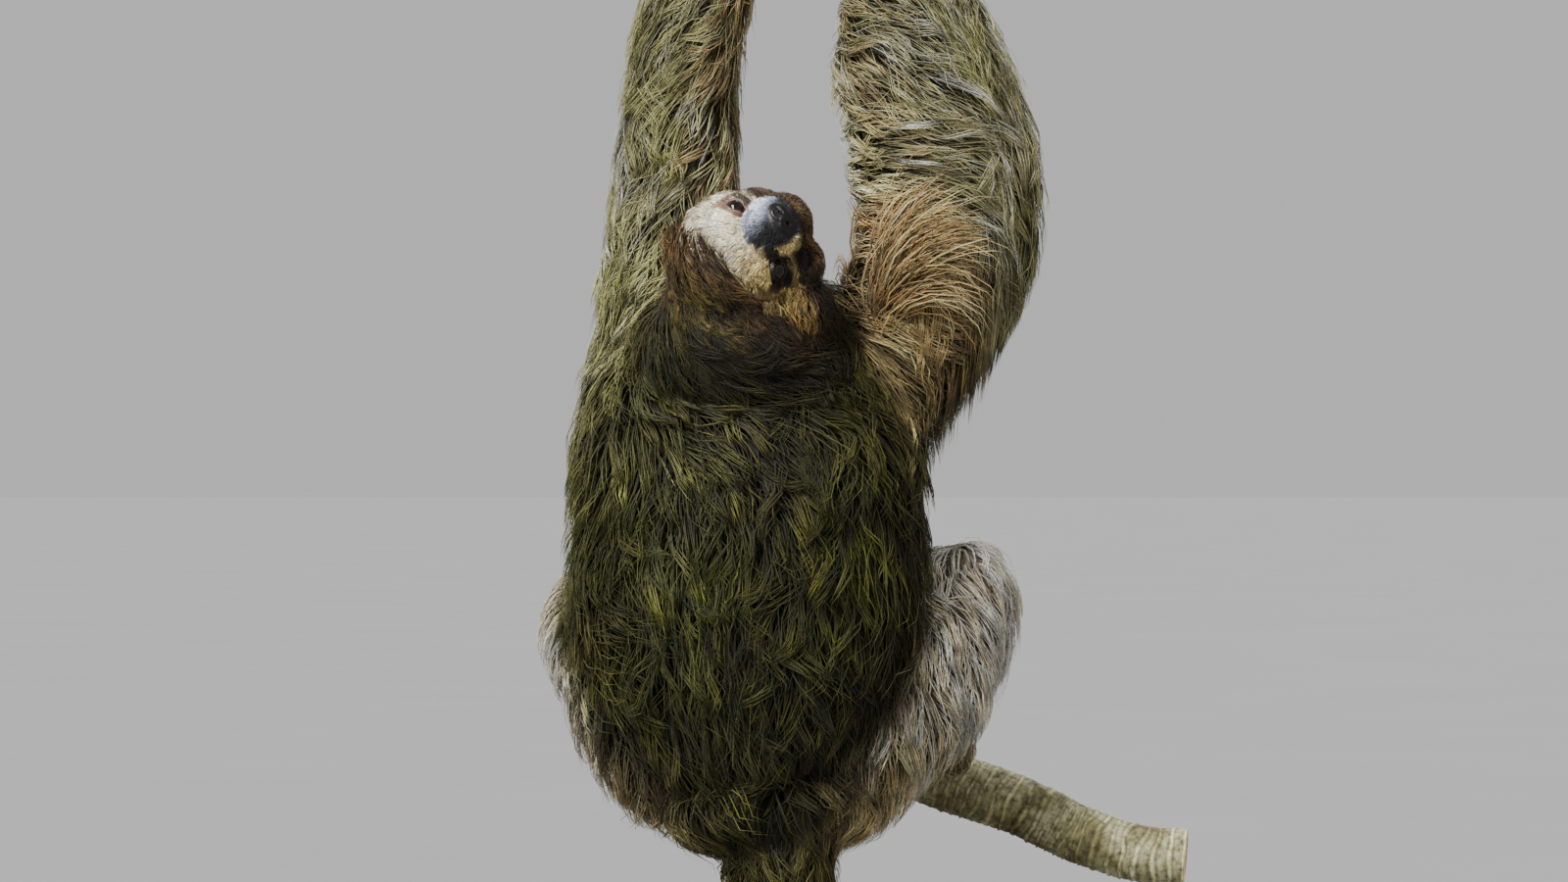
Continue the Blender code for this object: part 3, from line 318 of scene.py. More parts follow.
CURL_TUFTS = 600
CURL_MIDDLE = (0.064, -0.040, 0.391)
CURL_SPREAD = (0.010, 0.017)
CURL_LENGTH = 0.088
CURL_WIDTH = 0.0008
CURL_SHARES = (0, 0.10, 0.22, 0.36, 0.52, 0.68, 0.84, 1)
CURL_OUTWARD = np.array((0.0, -1.0, 0.2))
# Tint of the curl's roots against its tips: darker and warmer, as painted shade where the curl leaves the
# coat
CURL_ROOT_SHADE = np.array((0.26, 0.18, 0.10))

# Lamps: place, strength and size in degrees. The camera stands where the photograph was taken from
WORLD_GREY = (0.82, 0.82, 0.82, 1)
WORLD_STRENGTH = 0.68
KEY_SUN = ((-1.3, -1.6, 2.2), 5.0, 22)
BACK_SUN = ((0.7, 1.8, 2.0), 1.8, 30)
FACE_SPOT = ((-0.55, -1.15, 0.95), 130.0, 8)
CAMERA_PLACE = (0.015, -3.0, 0.315)
CAMERA_LENS = 135
CAMERA_SENSOR = 36
FLOOR_HALF = 30
FLOOR_DROP = 0.001


def unit(v):
    return v / np.maximum(np.linalg.norm(v, axis=-1, keepdims=True), 1e-9)


def dot(a, b):
    return np.sum(a * b, axis=-1)


def step(low, high, x):
    """A smooth rise from 0 at low to 1 at high."""
    t = np.clip((x - low) / (high - low), 0, 1)
    return t * t * (3 - 2 * t)


def bell(x, width):
    """1 at zero, falling off smoothly to either side."""
    return np.exp(-((x / width) ** 2))


def mixed(a, b, share):
    return a * (1 - share[:, None]) + b * share[:, None]


def vectors(n, x, y, z):
    return np.stack([np.broadcast_to(v, (n,)) for v in (x, y, z)], axis=-1).astype(float)


def rgb(red, green, blue):
    """A colour seen on a screen, 0 to 255, as linear light."""
    c = np.array((red, green, blue)) / 255
    return np.where(c <= 0.04045, c / 12.92, ((c + 0.055) / 1.055) ** 2.4)


def hashed(cells, seed):
    """A number from 0 to 1 for each cell of a grid, without any pattern."""
    a = cells[..., 0] * 73856093 ^ cells[..., 1] * 19349663 ^ cells[..., 2] * 83492791
    a = a ^ seed * 2654435761
    a = (a ^ (a >> 13)) * 1274126177 & 0xFFFFFFFF
    return ((a ^ (a >> 16)) & 0xFFFFFF) / 0xFFFFFF


def noise(points, size, seed):
    """Smooth value noise from -1 to 1, with features about size across."""
    scaled = points / size
    low = np.floor(scaled).astype(np.int64)
    part = scaled - low
    part = part * part * (3 - 2 * part)
    total = 0
    for corner in range(8):
        offset = np.array(((corner >> 2) & 1, (corner >> 1) & 1, corner & 1))
        weight = np.prod(np.where(offset, part, 1 - part), axis=-1)
        total = total + weight * hashed(low + offset, seed)
    return total * 2 - 1


def sampled(stations, steps):
    """Points with a radius on a smooth curve through the stations."""
    rows = np.array(stations, dtype=float)
    rows = np.vstack((rows[0] * 2 - rows[1], rows, rows[-1] * 2 - rows[-2]))
    found = []
    for i in range(1, len(rows) - 2):
        a, b, c, d = rows[i - 1 : i + 3]
        for k in range(steps):
            t = k / steps
            bend = (2 * a - 5 * b + 4 * c - d) * t * t + (3 * b - a - 3 * c + d) * t**3
            found.append(0.5 * (2 * b + (c - a) * t + bend))
    found.append(rows[-2])
    return np.array(found)


LINES = {name: sampled(stations, LIMB_STEPS) for name, stations in LIMBS.items()}


def make_head_turn():
    """The head's left, up and forward directions as the columns of a rotation."""
    roll, pitch, yaw = (math.radians(a) for a in (HEAD_ROLL, HEAD_PITCH, HEAD_YAW))
    nose_way = Vector((math.cos(roll), 0, math.sin(roll)))
    left_way = Vector((-math.sin(roll), 0, math.cos(roll)))
    to_viewer = Vector((0, -1, 0))
    forward = to_viewer * math.cos(pitch) + nose_way * math.sin(pitch)
    up = to_viewer * math.sin(pitch) - nose_way * math.cos(pitch)
    left = left_way * math.cos(yaw) - forward * math.sin(yaw)
    forward = forward * math.cos(yaw) + left_way * math.sin(yaw)
    return np.array(Matrix((left, up, forward)).transposed())


HEAD_TURN = make_head_turn()


def to_head(points):
    """Model places in the head's own frame, in mm."""
    return (points - np.array(FACE_POINT)) @ HEAD_TURN / MM


def from_head(points):
    return np.array(FACE_POINT) + (points * MM) @ HEAD_TURN.T


def linked(name, data):
    """A new object in the scene."""
    made = bpy.data.objects.new(name, data)
    bpy.context.scene.collection.objects.link(made)
    return made


def mesh_object(name, points, faces):
    mesh = bpy.data.meshes.new(name)
    mesh.from_pydata([tuple(p) for p in points], [], [tuple(int(i) for i in f) for f in faces])
    mesh.validate()
    mesh.shade_smooth()
    return linked(name, mesh)


def fix_normals(mesh):
    shape = bmesh.new()
    shape.from_mesh(mesh)
    bmesh.ops.recalc_face_normals(shape, faces=shape.faces)
    shape.to_mesh(mesh)
    shape.free()


def round_pairs(sides):
    """Each place round a ring with the one after it."""
    return [(j, (j + 1) % sides) for j in range(sides)]


def grid_faces(rows, sides):
    """Quads between rings of points, from one ring to the next."""
    faces = []
    for i in range(rows - 1):
        a, b = i * sides, (i + 1) * sides
        faces += [(a + j, b + j, b + k, a + k) for j, k in round_pairs(sides)]
    return faces


def closed_faces(rows, sides):
    """Rings of points joined, and closed at each end by a fan to one of two points after them."""
    start, end = rows * sides, rows * sides + 1
    last = (rows - 1) * sides
    faces = grid_faces(rows, sides)
    faces += [(start, j, k) for j, k in round_pairs(sides)]
    faces += [(end, last + k, last + j) for j, k in round_pairs(sides)]
    return faces


def across(centres, reference):
    """Two directions across a path at each of its points."""
    along = unit(np.gradient(centres, axis=0))
    side = unit(np.cross(along, reference))
    return side, unit(np.cross(side, along))


def ways_round(side, up, sides):
    """Directions all the way round a path, at each of its points."""
    turns = np.linspace(0, 2 * math.pi, sides, endpoint=False)[None, :, None]
    return side[:, None] * np.cos(turns) + up[:, None] * np.sin(turns)


def tube(centres, radii, sides):
    """The points and faces of a closed tube with a point in the middle of each end."""
    side, up = across(centres, (0, 1, 0))
    rings = centres[:, None] + ways_round(side, up, sides) * radii[:, None, None]
    points = np.vstack((rings.reshape(-1, 3), centres[:1], centres[-1:]))
    return points, closed_faces(len(centres), sides)


def ball(centre, size, rings=14, sides=24):
    points = []
    for i in range(1, rings):
        a = math.pi * i / rings
        for j in range(sides):
            b = 2 * math.pi * j / sides
            points.append((math.sin(a) * math.cos(b), math.sin(a) * math.sin(b), math.cos(a)))
    points += [(0, 0, 1), (0, 0, -1)]
    return np.array(centre) + np.array(points) * np.array(size), closed_faces(rings - 1, sides)


def solid_of(node):
    """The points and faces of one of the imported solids."""
    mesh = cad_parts[node].data
    return np.array([v.co for v in mesh.vertices]), [tuple(f.vertices) for f in mesh.polygons]


def joined(pieces):
    points, faces, offset = [], [], 0
    for some, polygons in pieces:
        points.append(some)
        faces += [tuple(i + offset for i in f) for f in polygons]
        offset += len(some)
    return np.vstack(points), faces


def applied(thing):
    """Bakes an object's modifiers into its mesh."""
    graph = bpy.context.evaluated_depsgraph_get()
    result = bpy.data.meshes.new_from_object(thing.evaluated_get(graph))
    thing.modifiers.clear()
    thing.data = result
    result.shade_smooth()
    return thing


def remeshed(thing, voxel, smoothing):
    change = thing.modifiers.new("remesh", "REMESH")
    change.mode = "VOXEL"
    change.voxel_size = voxel
    soft = thing.modifiers.new("smooth", "SMOOTH")
    soft.factor = 0.5
    soft.iterations = smoothing
    return applied(thing)


def trunk_sizes(z):
    """The trunk's centre y, half width and half depth at each height."""
    return (np.interp(z, TRUNK[::-1, 0], TRUNK[::-1, i]) for i in (1, 2, 3))


def trunk_flesh():
    z = np.linspace(TRUNK[0, 0], TRUNK[-1, 0], TRUNK_RINGS)
    centre_y, wide, deep = trunk_sizes(z)
    turns = np.linspace(0, 2 * math.pi, TRUNK_SIDES, endpoint=False)
    x = wide[:, None] * np.cos(turns)
    y = centre_y[:, None] + deep[:, None] * np.sin(turns)
    rings = np.stack((x, y, np.broadcast_to(z[:, None], x.shape)), axis=-1).reshape(-1, 3)
    points = np.vstack((rings, TRUNK_TOP, TRUNK_BOTTOM))
    points = TRUNK_MIDDLE + (points - TRUNK_MIDDLE * (0, 0, 1)) * SKIN_TRUNK
    return points, closed_faces(TRUNK_RINGS, TRUNK_SIDES)


def limb_flesh(name, line):
    """A limb or the tail as a tube, with a ball in its root and in its knee or its tip."""
    share = np.linspace(0, 1, len(line))
    size = SKIN_LIMB + (SKIN_WRIST - SKIN_LIMB) * step(0.5, 1.0, share)
    centres, radii = line[:, :3], line[:, 3] * size
    if name != "tail":
        beyond = centres[-1] + unit(centres[-1] - centres[-2]) * INTO_PAW
        centres, radii = np.vstack((centres, beyond)), np.append(radii, radii[-1])
    rounded = [0]
    if name.startswith("leg"):
        rounded.append(KNEE)
    if name == "tail":
        rounded.append(-1)
    return [tube(centres, radii, LIMB_SIDES)] + [ball(centres[at], radii[at] * np.ones(3)) for at in rounded]


def body_flesh():
    """The trunk, nape, limbs, tail and paws as one smooth surface."""
    pieces = [trunk_flesh(), ball(NAPE_CENTRE, NAPE_SIZE * SKIN_NAPE)]
    pieces += [ball(HEAD_BRIDGE, HEAD_BRIDGE_SIZE), ball(RUMP, RUMP_SIZE)]
    for name, line in LINES.items():
        pieces += limb_flesh(name, line)
    pieces += [solid_of(name) for name in PAWS]
    body = mesh_object("skin", *joined(pieces))
    return remeshed(body, SKIN_VOXEL, SKIN_SMOOTHING)


def ellipsoid_distance(p, centre, size):
    d = (p - np.array(centre)) / np.array(size)
    reach = np.linalg.norm(d, axis=-1)
    slope = np.linalg.norm(d / np.array(size), axis=-1)
    return reach * (reach - 1) / np.maximum(slope, 1e-6)


def smooth_union(distances, blend):
    total = sum(np.exp(np.clip(-d / blend, -60, 60)) for d in distances)
    return -np.log(np.maximum(total, 1e-30)) * blend


def carved(d, hollow, blend):
    """A form less a hollow, with its edge rounded off."""
    return -smooth_union((-d, hollow), blend)


def path_place(p, line):
    """For each point, how far outside a path with a radius it is, and how far along it."""
    best = np.full(len(p), 1e9)
    along = np.zeros(len(p))
    for i in range(len(line) - 1):
        a, b = line[i], line[i + 1]
        ab = b[:3] - a[:3]
        t = np.clip(dot(p - a[:3], ab) / dot(ab, ab), 0, 1)
        d = np.linalg.norm(p - (a[:3] + t[:, None] * ab), axis=-1) - (a[3] + t * (b[3] - a[3]))
        nearer = d < best
        best = np.where(nearer, d, best)
        along = np.where(nearer, (i + t) / (len(line) - 1), along)
    return best, along


def path_distance(p, points):
    """Distance to a path of points without a radius."""
    return path_place(p, np.pad(np.array(points, dtype=float), ((0, 0), (0, 1))))[0]


def head_masses(p, coat=False):
    """Distance in mm to the head, over its coat or over its skin."""
    parts = []
    for centre, size, depth in HEAD_MASSES:
        parts.append(ellipsoid_distance(p, centre, np.array(size) - (0 if coat else depth)))
    return smooth_union(parts, HEAD_BLEND)


def look_frame(side):
    """Columns: along the lids, up across them, and out of the eye."""
    look = EYE_LOOK * (side, 1, 1)
    along = unit(np.cross((0, 1, 0), look))
    up = np.cross(look, along)
    tilt = math.radians(EYE_SLANT) * side
    slanted = along * math.cos(tilt) + up * math.sin(tilt)
    return np.stack((slanted, np.cross(look, slanted), look), axis=1)


def in_eye(local, side):
    """Places in the head as an eye has them: along its lids, up across them, and out of it."""
    return (local - EYE_CENTRE * (side, 1, 1)) @ look_frame(side)


def mouth_path():
    half = [np.array(p, dtype=float) for p in MOUTH_LINE]
    return [p * (-1, 1, 1) for p in reversed(half[1:])] + half


def with_lids(d, p, side):
    """Lids round the eyeball with a slanted opening, a rim round it and a fold over it."""
    q = in_eye(p, side)
    lid = np.linalg.norm(q, axis=-1) - (EYE_RADIUS + LID_THICKNESS)
    d = smooth_union((d, lid), 0.6)
    out = step(0.5, 3.0, q[:, 2])
    ring = np.sqrt((q[:, 0] / 1.45) ** 2 + q[:, 1] ** 2)
    d = d + 0.40 * bell(ring - 5.0, 0.40) * out
    d = d + 0.35 * bell(ring - 6.6, 0.45) * out * (q[:, 1] > 0)
    height = 3.0 * (1 - np.abs(q[:, 0] / 6.1) ** 1.8)
    opening = np.maximum(np.abs(q[:, 1]) - height, 0.8 - q[:, 2])
    return carved(d, opening, 0.18)


def with_nostril(d, p, side):
    """A nostril with a slit at its outer end and a swelling over it."""
    hole = ellipsoid_distance(p, (3.3 * side, -9.2, 21.5), (1.45, 1.15, 2.8))
    slit = ellipsoid_distance(p, (5.3 * side, -9.6, 19.2), (1.9, 0.55, 1.8))
    d = carved(d, smooth_union((hole, slit), 0.3), 0.25)
    return d - 0.3 * bell(ellipsoid_distance(p, (3.9 * side, -7.6, 20.5), (3.4, 2.6, 2.2)), 1.2)


def head_form(p):
    """Distance in mm to the head's skin, with lids, folds, nose and mouth."""
    nose = ellipsoid_distance(p, NOSE_CENTRE, NOSE_SIZE - 0.3)
    d = smooth_union((head_masses(p), nose), 0.5)
    d = d + 0.35 * bell(nose, 0.5) * step(12.5, 14.5, p[:, 2])
    for side in (1, -1):
        d = with_nostril(with_lids(d, p, side), p, side)
    d = carved(d, path_distance(p, PHILTRUM) - 0.45, 0.25)
    mouth = path_distance(p, mouth_path())
    d = d - 0.55 * bell(mouth - 2.1, 1.0)
    d = carved(d, mouth - 0.75, 0.25)
    fold = np.linalg.norm((p - (0, -9, 3)) / (17.5, 16.5, 14), axis=-1)
    return d + 0.35 * bell(fold - 1, 0.045) * step(-4, 2, p[:, 2]) * step(-24, -14, p[:, 1])


def halved(form, ways, low, high, rounds):
    """Closes in on a form's surface between a reach inside it and one outside it, along each way."""
    for _ in range(rounds):
        middle = (low + high) / 2
        inside = form(HEAD_START + ways * middle[:, None]) < 0
        low, high = np.where(inside, middle, low), np.where(inside, high, middle)
    return low


def head_flesh():
    """The head's skin, as rings round the way that it faces."""
    tilt = math.pi * (np.arange(1, HEAD_RINGS) / HEAD_RINGS) ** 1.25
    turns = np.linspace(0, 2 * math.pi, HEAD_SIDES, endpoint=False)
    a, b = np.meshgrid(tilt, turns, indexing="ij")
    ways = np.stack((np.sin(a) * np.cos(b), np.sin(a) * np.sin(b), np.cos(a)), axis=-1).reshape(-1, 3)
    ways = np.vstack((ways, (0, 0, 1), (0, 0, -1)))
    start = np.zeros(len(ways))
    reach = halved(head_masses, ways, start, start + HEAD_REACH, 20) + HEAD_RELIEF
    out = np.ones(len(ways), dtype=bool)
    for _ in range(30):
        out &= head_form(HEAD_START + ways * reach[:, None]) > 0
        reach = np.where(out, reach - HEAD_STRIDE, reach)
    reach = halved(head_form, ways, reach, reach + HEAD_STRIDE, 7)
    points = from_head(HEAD_START + ways * reach[:, None])
    head = mesh_object("head_form", points, closed_faces(HEAD_RINGS - 1, HEAD_SIDES))
    fix_normals(head.data)
    return head


def make_skin():
    """Body and head in one closed surface."""
    skin = body_flesh()
    head = head_flesh()
    join = skin.modifiers.new("head", "BOOLEAN")
    join.operation = "UNION"
    join.object = head
    join.solver = "EXACT"
    applied(skin)
    bpy.data.objects.remove(head)
    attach(skin, "root")
    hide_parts(*FLESH)
    return skin


def trunk_place(p):
    """How far outside the trunk's coat each point is."""
    z = np.clip(p[:, 2], TRUNK[-1, 0], TRUNK[0, 0])
    centre_y, wide, deep = trunk_sizes(z)
    dx, dy = p[:, 0] - TRUNK_MIDDLE[0], p[:, 1] - centre_y
    ratio = np.sqrt((dx / wide) ** 2 + (dy / deep) ** 2)
    flat = np.hypot(dx, dy)
    over = np.maximum(p[:, 2] - TRUNK[0, 0], TRUNK[-1, 0] - p[:, 2])
    beyond = np.hypot(np.maximum(flat - wide, 0), over)
    return np.where(over > 0, beyond, flat * (1 - 1 / np.maximum(ratio, 1e-3)))


def places(p):
    """Distance out of each part's coat, and how far along each limb, for every point."""
    distance = np.empty((len(p), len(PARTS)))
    along = np.zeros((len(p), len(PARTS)))
    for i, part in enumerate(PARTS):
        if part == "torso":
            distance[:, i] = trunk_place(p)
        elif part == "nape":
            distance[:, i] = ellipsoid_distance(p, NAPE_CENTRE, NAPE_SIZE)
        elif part == "head":
            distance[:, i] = head_masses(to_head(p), coat=True) * MM
        else:
            distance[:, i], along[:, i] = path_place(p, LINES[part])
    return distance, along


def blend_of(distance):
    """How much each part has a say at each point."""
    near = distance - distance.min(axis=1, keepdims=True)
    weight = np.exp(-near / 0.006)
    return weight / weight.sum(axis=1, keepdims=True)


def paw_share(owner, along, start):
    """A rise from 0 at a share of each arm and leg to 1 at its hand or foot."""
    paw = np.zeros(len(owner))
    for i, part in enumerate(PARTS):
        if part.startswith(("arm", "leg")):
            paw = np.maximum(paw, (owner == i) * step(start, 1.0, along[:, i]))
    return paw


def coat_depth(distance, along):
    """How deep the coat is over the skin at each point."""
    depth = -smooth_union(list(distance.T), 0.003)
    paw = paw_share(distance.argmin(axis=1), along, 0.9)
    return np.clip(depth, 0.0015, 0.016) * (1 - paw) + 0.0022 * paw


def whorl(p, centre, reach, strength):
    """Hair that starts out from a point, seen from the back."""
    away = (p - np.array(centre)) * (1, 0.5, 1)
    far = np.linalg.norm(away, axis=-1, keepdims=True)
    return unit(away) * strength * bell(far, reach) * np.minimum(far / 0.006, 1)


def torso_lie(p, n):
    """Down, swept to the right below the nape, and in toward the tail at the rump."""
    sweep = bell(p[:, 2] - 0.345, 0.030) * np.where(p[:, 1] < 0.02, 1.0, 0.3)
    sweep = sweep * (0.2 + 1.2 * step(-0.078, -0.052, p[:, 0]))
    to_rump = np.maximum(0, (0.20 - p[:, 2]) / 0.08) * (0.012 - p[:, 0]) / 0.09
    wave = 0.36 * noise(p, 0.035, 3) + 0.30 * noise(p, 0.014, 4)
    lie = vectors(len(p), sweep + 0.9 * to_rump + wave, np.where(n[:, 1] > 0.3, -0.25, 0.0), -1.0)
    return lie + whorl(p, *SHOULDER_WHORL)


def nape_lie(p, n):
    wave = 0.25 * noise(p, 0.02, 5)
    right = -0.10 + 1.20 * step(-0.058, -0.005, p[:, 0])
    return vectors(len(p), right + wave, -0.1, -0.8 + 0.35 * step(0.01, 0.05, p[:, 0]))


def arm_left_lie(p, n):
    wave = 0.25 * noise(p, 0.02, 6)
    lie = vectors(len(p), np.where(n[:, 1] < 0.5, -0.5, -0.1) + wave, -0.15, -1.0)
    return lie + whorl(p, *ARM_LEFT_WHORL)


def arm_right_lie(p, n):
    """Round the arm to the right over its back, and down along its outer side."""
    side = np.maximum(0, 1.0 - 1.5 * np.maximum(0, n[:, 0]))
    side = np.where(n[:, 1] < 0.6, side, 0.2)
    side = side * (1 - 0.55 * step(0.52, 0.56, p[:, 2])) * (1 - 0.6 * step(-0.7, -0.9, n[:, 0]))
    wave = 0.25 * noise(p, 0.022, 7)
    wrap = -0.9 * step(-0.25, -0.75, n[:, 0]) * (n[:, 1] < 0.5)
    lie = vectors(len(p), 1.25 * side, wrap, -0.55 - 0.55 * np.maximum(0, n[:, 0]) + wave)
    return lie + whorl(p, *ARM_RIGHT_WHORL)


def leg_lie(p, n):
    wave = 0.2 * noise(p, 0.02, 8)
    return vectors(len(p), 0.15 * np.sign(p[:, 0]) + wave, 0.1, -1.0)


def tail_lie(p, n):
    return vectors(len(p), 0.12 * noise(p, 0.012, 9), 0.0, -1.0)


def head_lie(p, n):
    """Out from the nose and the eyes over the face, and over the crown across and down."""
    local = to_head(p)
    from_nose = unit((local - (0, -8.5, 20.0)) @ HEAD_TURN.T)
    for side in (1, -1):
        away = local - (EYE_CENTRE + EYE_LOOK * EYE_RADIUS) * (side, 1, 1)
        close = step(11.0, 6.0, np.linalg.norm(away, axis=-1))[:, None]
        from_nose = unit(from_nose * (1 - 0.8 * close) + unit(away @ HEAD_TURN.T) * close)
    hang = long_share(local)[:, None] * np.array((0, 0, -0.75))
    over = crown_share(local)[:, None]
    right = 0.10 + 0.70 * step(-0.050, -0.008, p[:, 0]) + 0.22 * noise(p, 0.010, 10)
    return (from_nose + hang) * (1 - over) + unit(vectors(len(p), right, -0.05, -0.62)) * over


LIES = (torso_lie, nape_lie, arm_left_lie, arm_right_lie, leg_lie, leg_lie, tail_lie, head_lie)


def crown_border(local):
    """Height in mm over the edge where the brow's pale band gives way to the crown."""
    x = local[:, 0]
    edge = 16.2 - np.where(x < 0, 0.0100, 0.0015) * x**2
    return np.maximum(local[:, 1] - edge, -22.0 - local[:, 2])


def crown_share(local):
    return step(-1.5, 2.5, crown_border(local) + 1.2 * noise(local, 3.0, 12))


def long_share(local):
    """Where the head's hair is long: over the crown, the right cheek and the throat."""
    x, up, _ = local.T
    ragged = 1.5 * noise(local, 4.0, 13)
    cheek = np.maximum(step(-26, -38, x + ragged), step(-17, -24, up + ragged))
    return np.maximum(crown_share(local), cheek)


def lie_at(p, n):
    """Which way the hair lies on the surface, and how deep the coat is there."""
    distance, along = places(p)
    weight = blend_of(distance)
    total = np.zeros_like(p)
    for i, lie in enumerate(LIES):
        says = weight[:, i] > 0.02
        if says.any():
            total[says] += unit(lie(p[says], n[says])) * weight[says, i : i + 1]
    total -= n * dot(total, n)[:, None]
    return unit(total), coat_depth(distance, along)


# Tints of the coat, as seen on a screen
DEEP = rgb(24, 19, 9)
BROWN = rgb(80, 69, 38)
OLIVE = rgb(106, 112, 50)
KHAKI = rgb(166, 170, 108)
ALGAE = rgb(120, 132, 52)
GREY_TAN = rgb(188, 180, 144)
TAN = rgb(188, 164, 124)
PALE_LEG = rgb(236, 222, 202)
CROWN = rgb(84, 62, 39)
CROWN_TAN = rgb(136, 106, 62)
RUST = rgb(150, 92, 56)
SHOULDER = rgb(226, 190, 136)
CREAM = rgb(255, 240, 212)
OCHRE = rgb(198, 176, 124)
# Far right of the face: dark ochre stain with painted shade
OCHRE_STAIN_AND_SHADE = rgb(128, 100, 54)
MASK = rgb(38, 26, 17)
CHEEK = rgb(50, 35, 22)
MUZZLE = rgb(30, 31, 34)
JAW_TAN = rgb(112, 88, 60)
# Painted sheen on the muzzle
MUZZLE_PAINTED_SHEEN = rgb(190, 197, 224)
CHIN = rgb(74, 53, 34)
LID_BROWN = rgb(130, 104, 92)
LID_DARK = rgb(26, 19, 16)
NOSE_BLACK = rgb(16, 14, 14)
SATURATION = 1.22


def plain_face(local, ragged):
    """The pale face with its darker cheeks, chin and jaw, going ochre and then dark ochre toward its right:
    partly stain, partly painted shade away from the light.
    """
    x, up, forward = local.T
    # Cream to ochre to dark ochre toward the right: partly stain, partly painted shade on the side away from
    # the light
    face = mixed(CREAM, OCHRE, step(5, -16, x + 3 * ragged))
    face = mixed(face, OCHRE_STAIN_AND_SHADE, 0.9 * step(-18, -40, x + 3 * ragged))
    face = mixed(face, CHEEK, step(-8, -12, up + 1.5 * ragged) * step(9, 14, np.abs(x) + ragged))
    face = mixed(face, MUZZLE, step(-8.5, -11, up) * step(17, 13, np.abs(x)) * step(0, 4, forward))
    face = mixed(face, CHIN, step(-14.5, -16.5, up) * step(24, 18, np.abs(x)))
    jaw = step(-18.5, -21.5, up + ragged) * step(8, 1, x) * step(-56, -48, x)
    return mixed(face, JAW_TAN, jaw)


def eye_marks(face, local, ragged):
    """The ring round each eye and the stripe that runs from it, broader on the right."""
    x = local[:, 0]
    tan_line = path_distance(local * (-1, 1, 1), TAN_LINE)
    face = mixed(face, OCHRE * 0.6, 0.7 * step(2.0, 0.7, tan_line + 0.5 * ragged) * step(-34, -26, x))
    broader = 1.3 * step(-22, -30, x)
    eyes = ((1, 6.4, LID_BROWN, 4.0, 0, 0.8), (-1, 6.0, MASK, 0, broader, 1.0))
    for side, reach, tone, lower, wide, share in eyes:
        q = in_eye(local, side)
        ring = np.sqrt((q[:, 0] / 1.5) ** 2 + (q[:, 1] + 0.5) ** 2)
        face = mixed(face, tone, step(reach + 1.0, reach - 1.2, ring + 0.8 * ragged))
        stripe = path_distance(local * (side, 1, 1) + (0, lower, 0), MASK_STRIPE)
        face = mixed(face, MASK, step(5.0, 2.8, stripe - wide + 0.8 * ragged) * share)
    return face


def muzzle_marks(face, local, ragged):
    """The dark muzzle with a painted blue-grey sheen over its upper left, so that it stays dark below, with a
    pale lip on the right and a dark mouth.
    """
    x, up, forward = local.T
    round_nose = np.hypot(x - 2.0, up + 6.2) + 0.7 * ragged
    # Painted sheen: blue-grey, strongest toward the muzzle's upper left and fading toward the nose's front
    painted_sheen = step(0, 10, 0.8 * x + 0.35 * up) * step(20.5, 15.0, forward)
    muzzle = step(13.6, 12.0, round_nose) * step(1.0, 4.0, forward) * step(-14.5, -13.0, up)
    face = mixed(face, mixed(MUZZLE, MUZZLE_PAINTED_SHEEN, painted_sheen), muzzle)
    lip = step(-9.0, -10.5, x) * step(-8.5, -10.5, up) * step(-17.5, -15.5, up) * step(4, 8, forward)
    face = mixed(face, OCHRE, 0.55 * lip)
    return mixed(face, MASK * 0.5, step(3.0, 1.8, path_distance(local, mouth_path())))


def head_marks(local):
    """Colours of the head by place, in its own frame."""
    x, up, _ = local.T
    ragged = noise(local, 2.5, 21)
    crown = mixed(CROWN, OLIVE * 0.7, 0.45 * step(18, 36, up + 3 * ragged))
    crown = mixed(crown, CROWN_TAN, 0.8 * step(20, 34, x + 3 * ragged))
    face = eye_marks(plain_face(local, ragged), local, ragged)
    return mixed(muzzle_marks(face, local, ragged), crown, crown_share(local))


def back_marks(p, n, broad):
    """Olive and brown, paler on the left shoulder, deep on the right and at the rump."""
    x, y, z = p.T
    pale = np.clip(0.25 + 0.6 * noise(p, 0.011, 32), 0, 0.7)
    back = mixed(OLIVE, BROWN, np.clip(0.45 + 0.5 * broad, 0, 1))
    back = mixed(back, KHAKI, pale * step(0.20, 0.33, z) * step(0.02, -0.06, x))
    back = mixed(back, DEEP, 0.45 * step(0.0, 0.09, x) * step(0.40, 0.30, z))
    back = mixed(back, DEEP, 0.5 * step(0.28, 0.16, z) * step(-0.09, 0.02, x))
    belly = step(0.2, 0.8, n[:, 1]) * step(0.0, 0.03, y)
    # The back, y below 0.03, darkened to about half the front: partly the coat's own dark tone, partly
    # painted shade
    return mixed(back * np.where(y < 0.03, 0.52, 0.9)[:, None], TAN * 0.55, 0.6 * belly)


def arm_left_marks(n, broad):
    arm = mixed(GREY_TAN, KHAKI, np.clip(0.5 + 0.5 * broad, 0, 1)) * 1.12
    return mixed(arm, TAN, step(0.1, 0.8, n[:, 0]))


def arm_right_marks(p, n, broad):
    """Grey-tan, warm where it fans out from the shoulder, and dark under the arm and at its outer edge."""
    x, _, z = p.T
    arm = mixed(GREY_TAN, KHAKI, np.clip(0.35 + 0.6 * broad, 0, 1)) * 1.05
    fan = step(0.072, 0.040, np.hypot(x - 0.040, (z - 0.385) * 1.1)) * (n[:, 1] < 0.3)
    arm = mixed(arm, SHOULDER, 0.85 * fan)
    arm = mixed(arm, TAN, step(0.08, 0.045, x) * 0.6)
    arm = mixed(arm, DEEP, 0.72 * step(0.435, 0.365, z) * step(0.058, 0.088, x))
    arm = mixed(arm, DEEP, 0.45 * step(0.35, 0.95, n[:, 0]) * step(0.53, 0.48, z))
    return mixed(arm, RUST, 0.6 * bell(x - 0.052, 0.014) * bell(z - 0.413, 0.010))


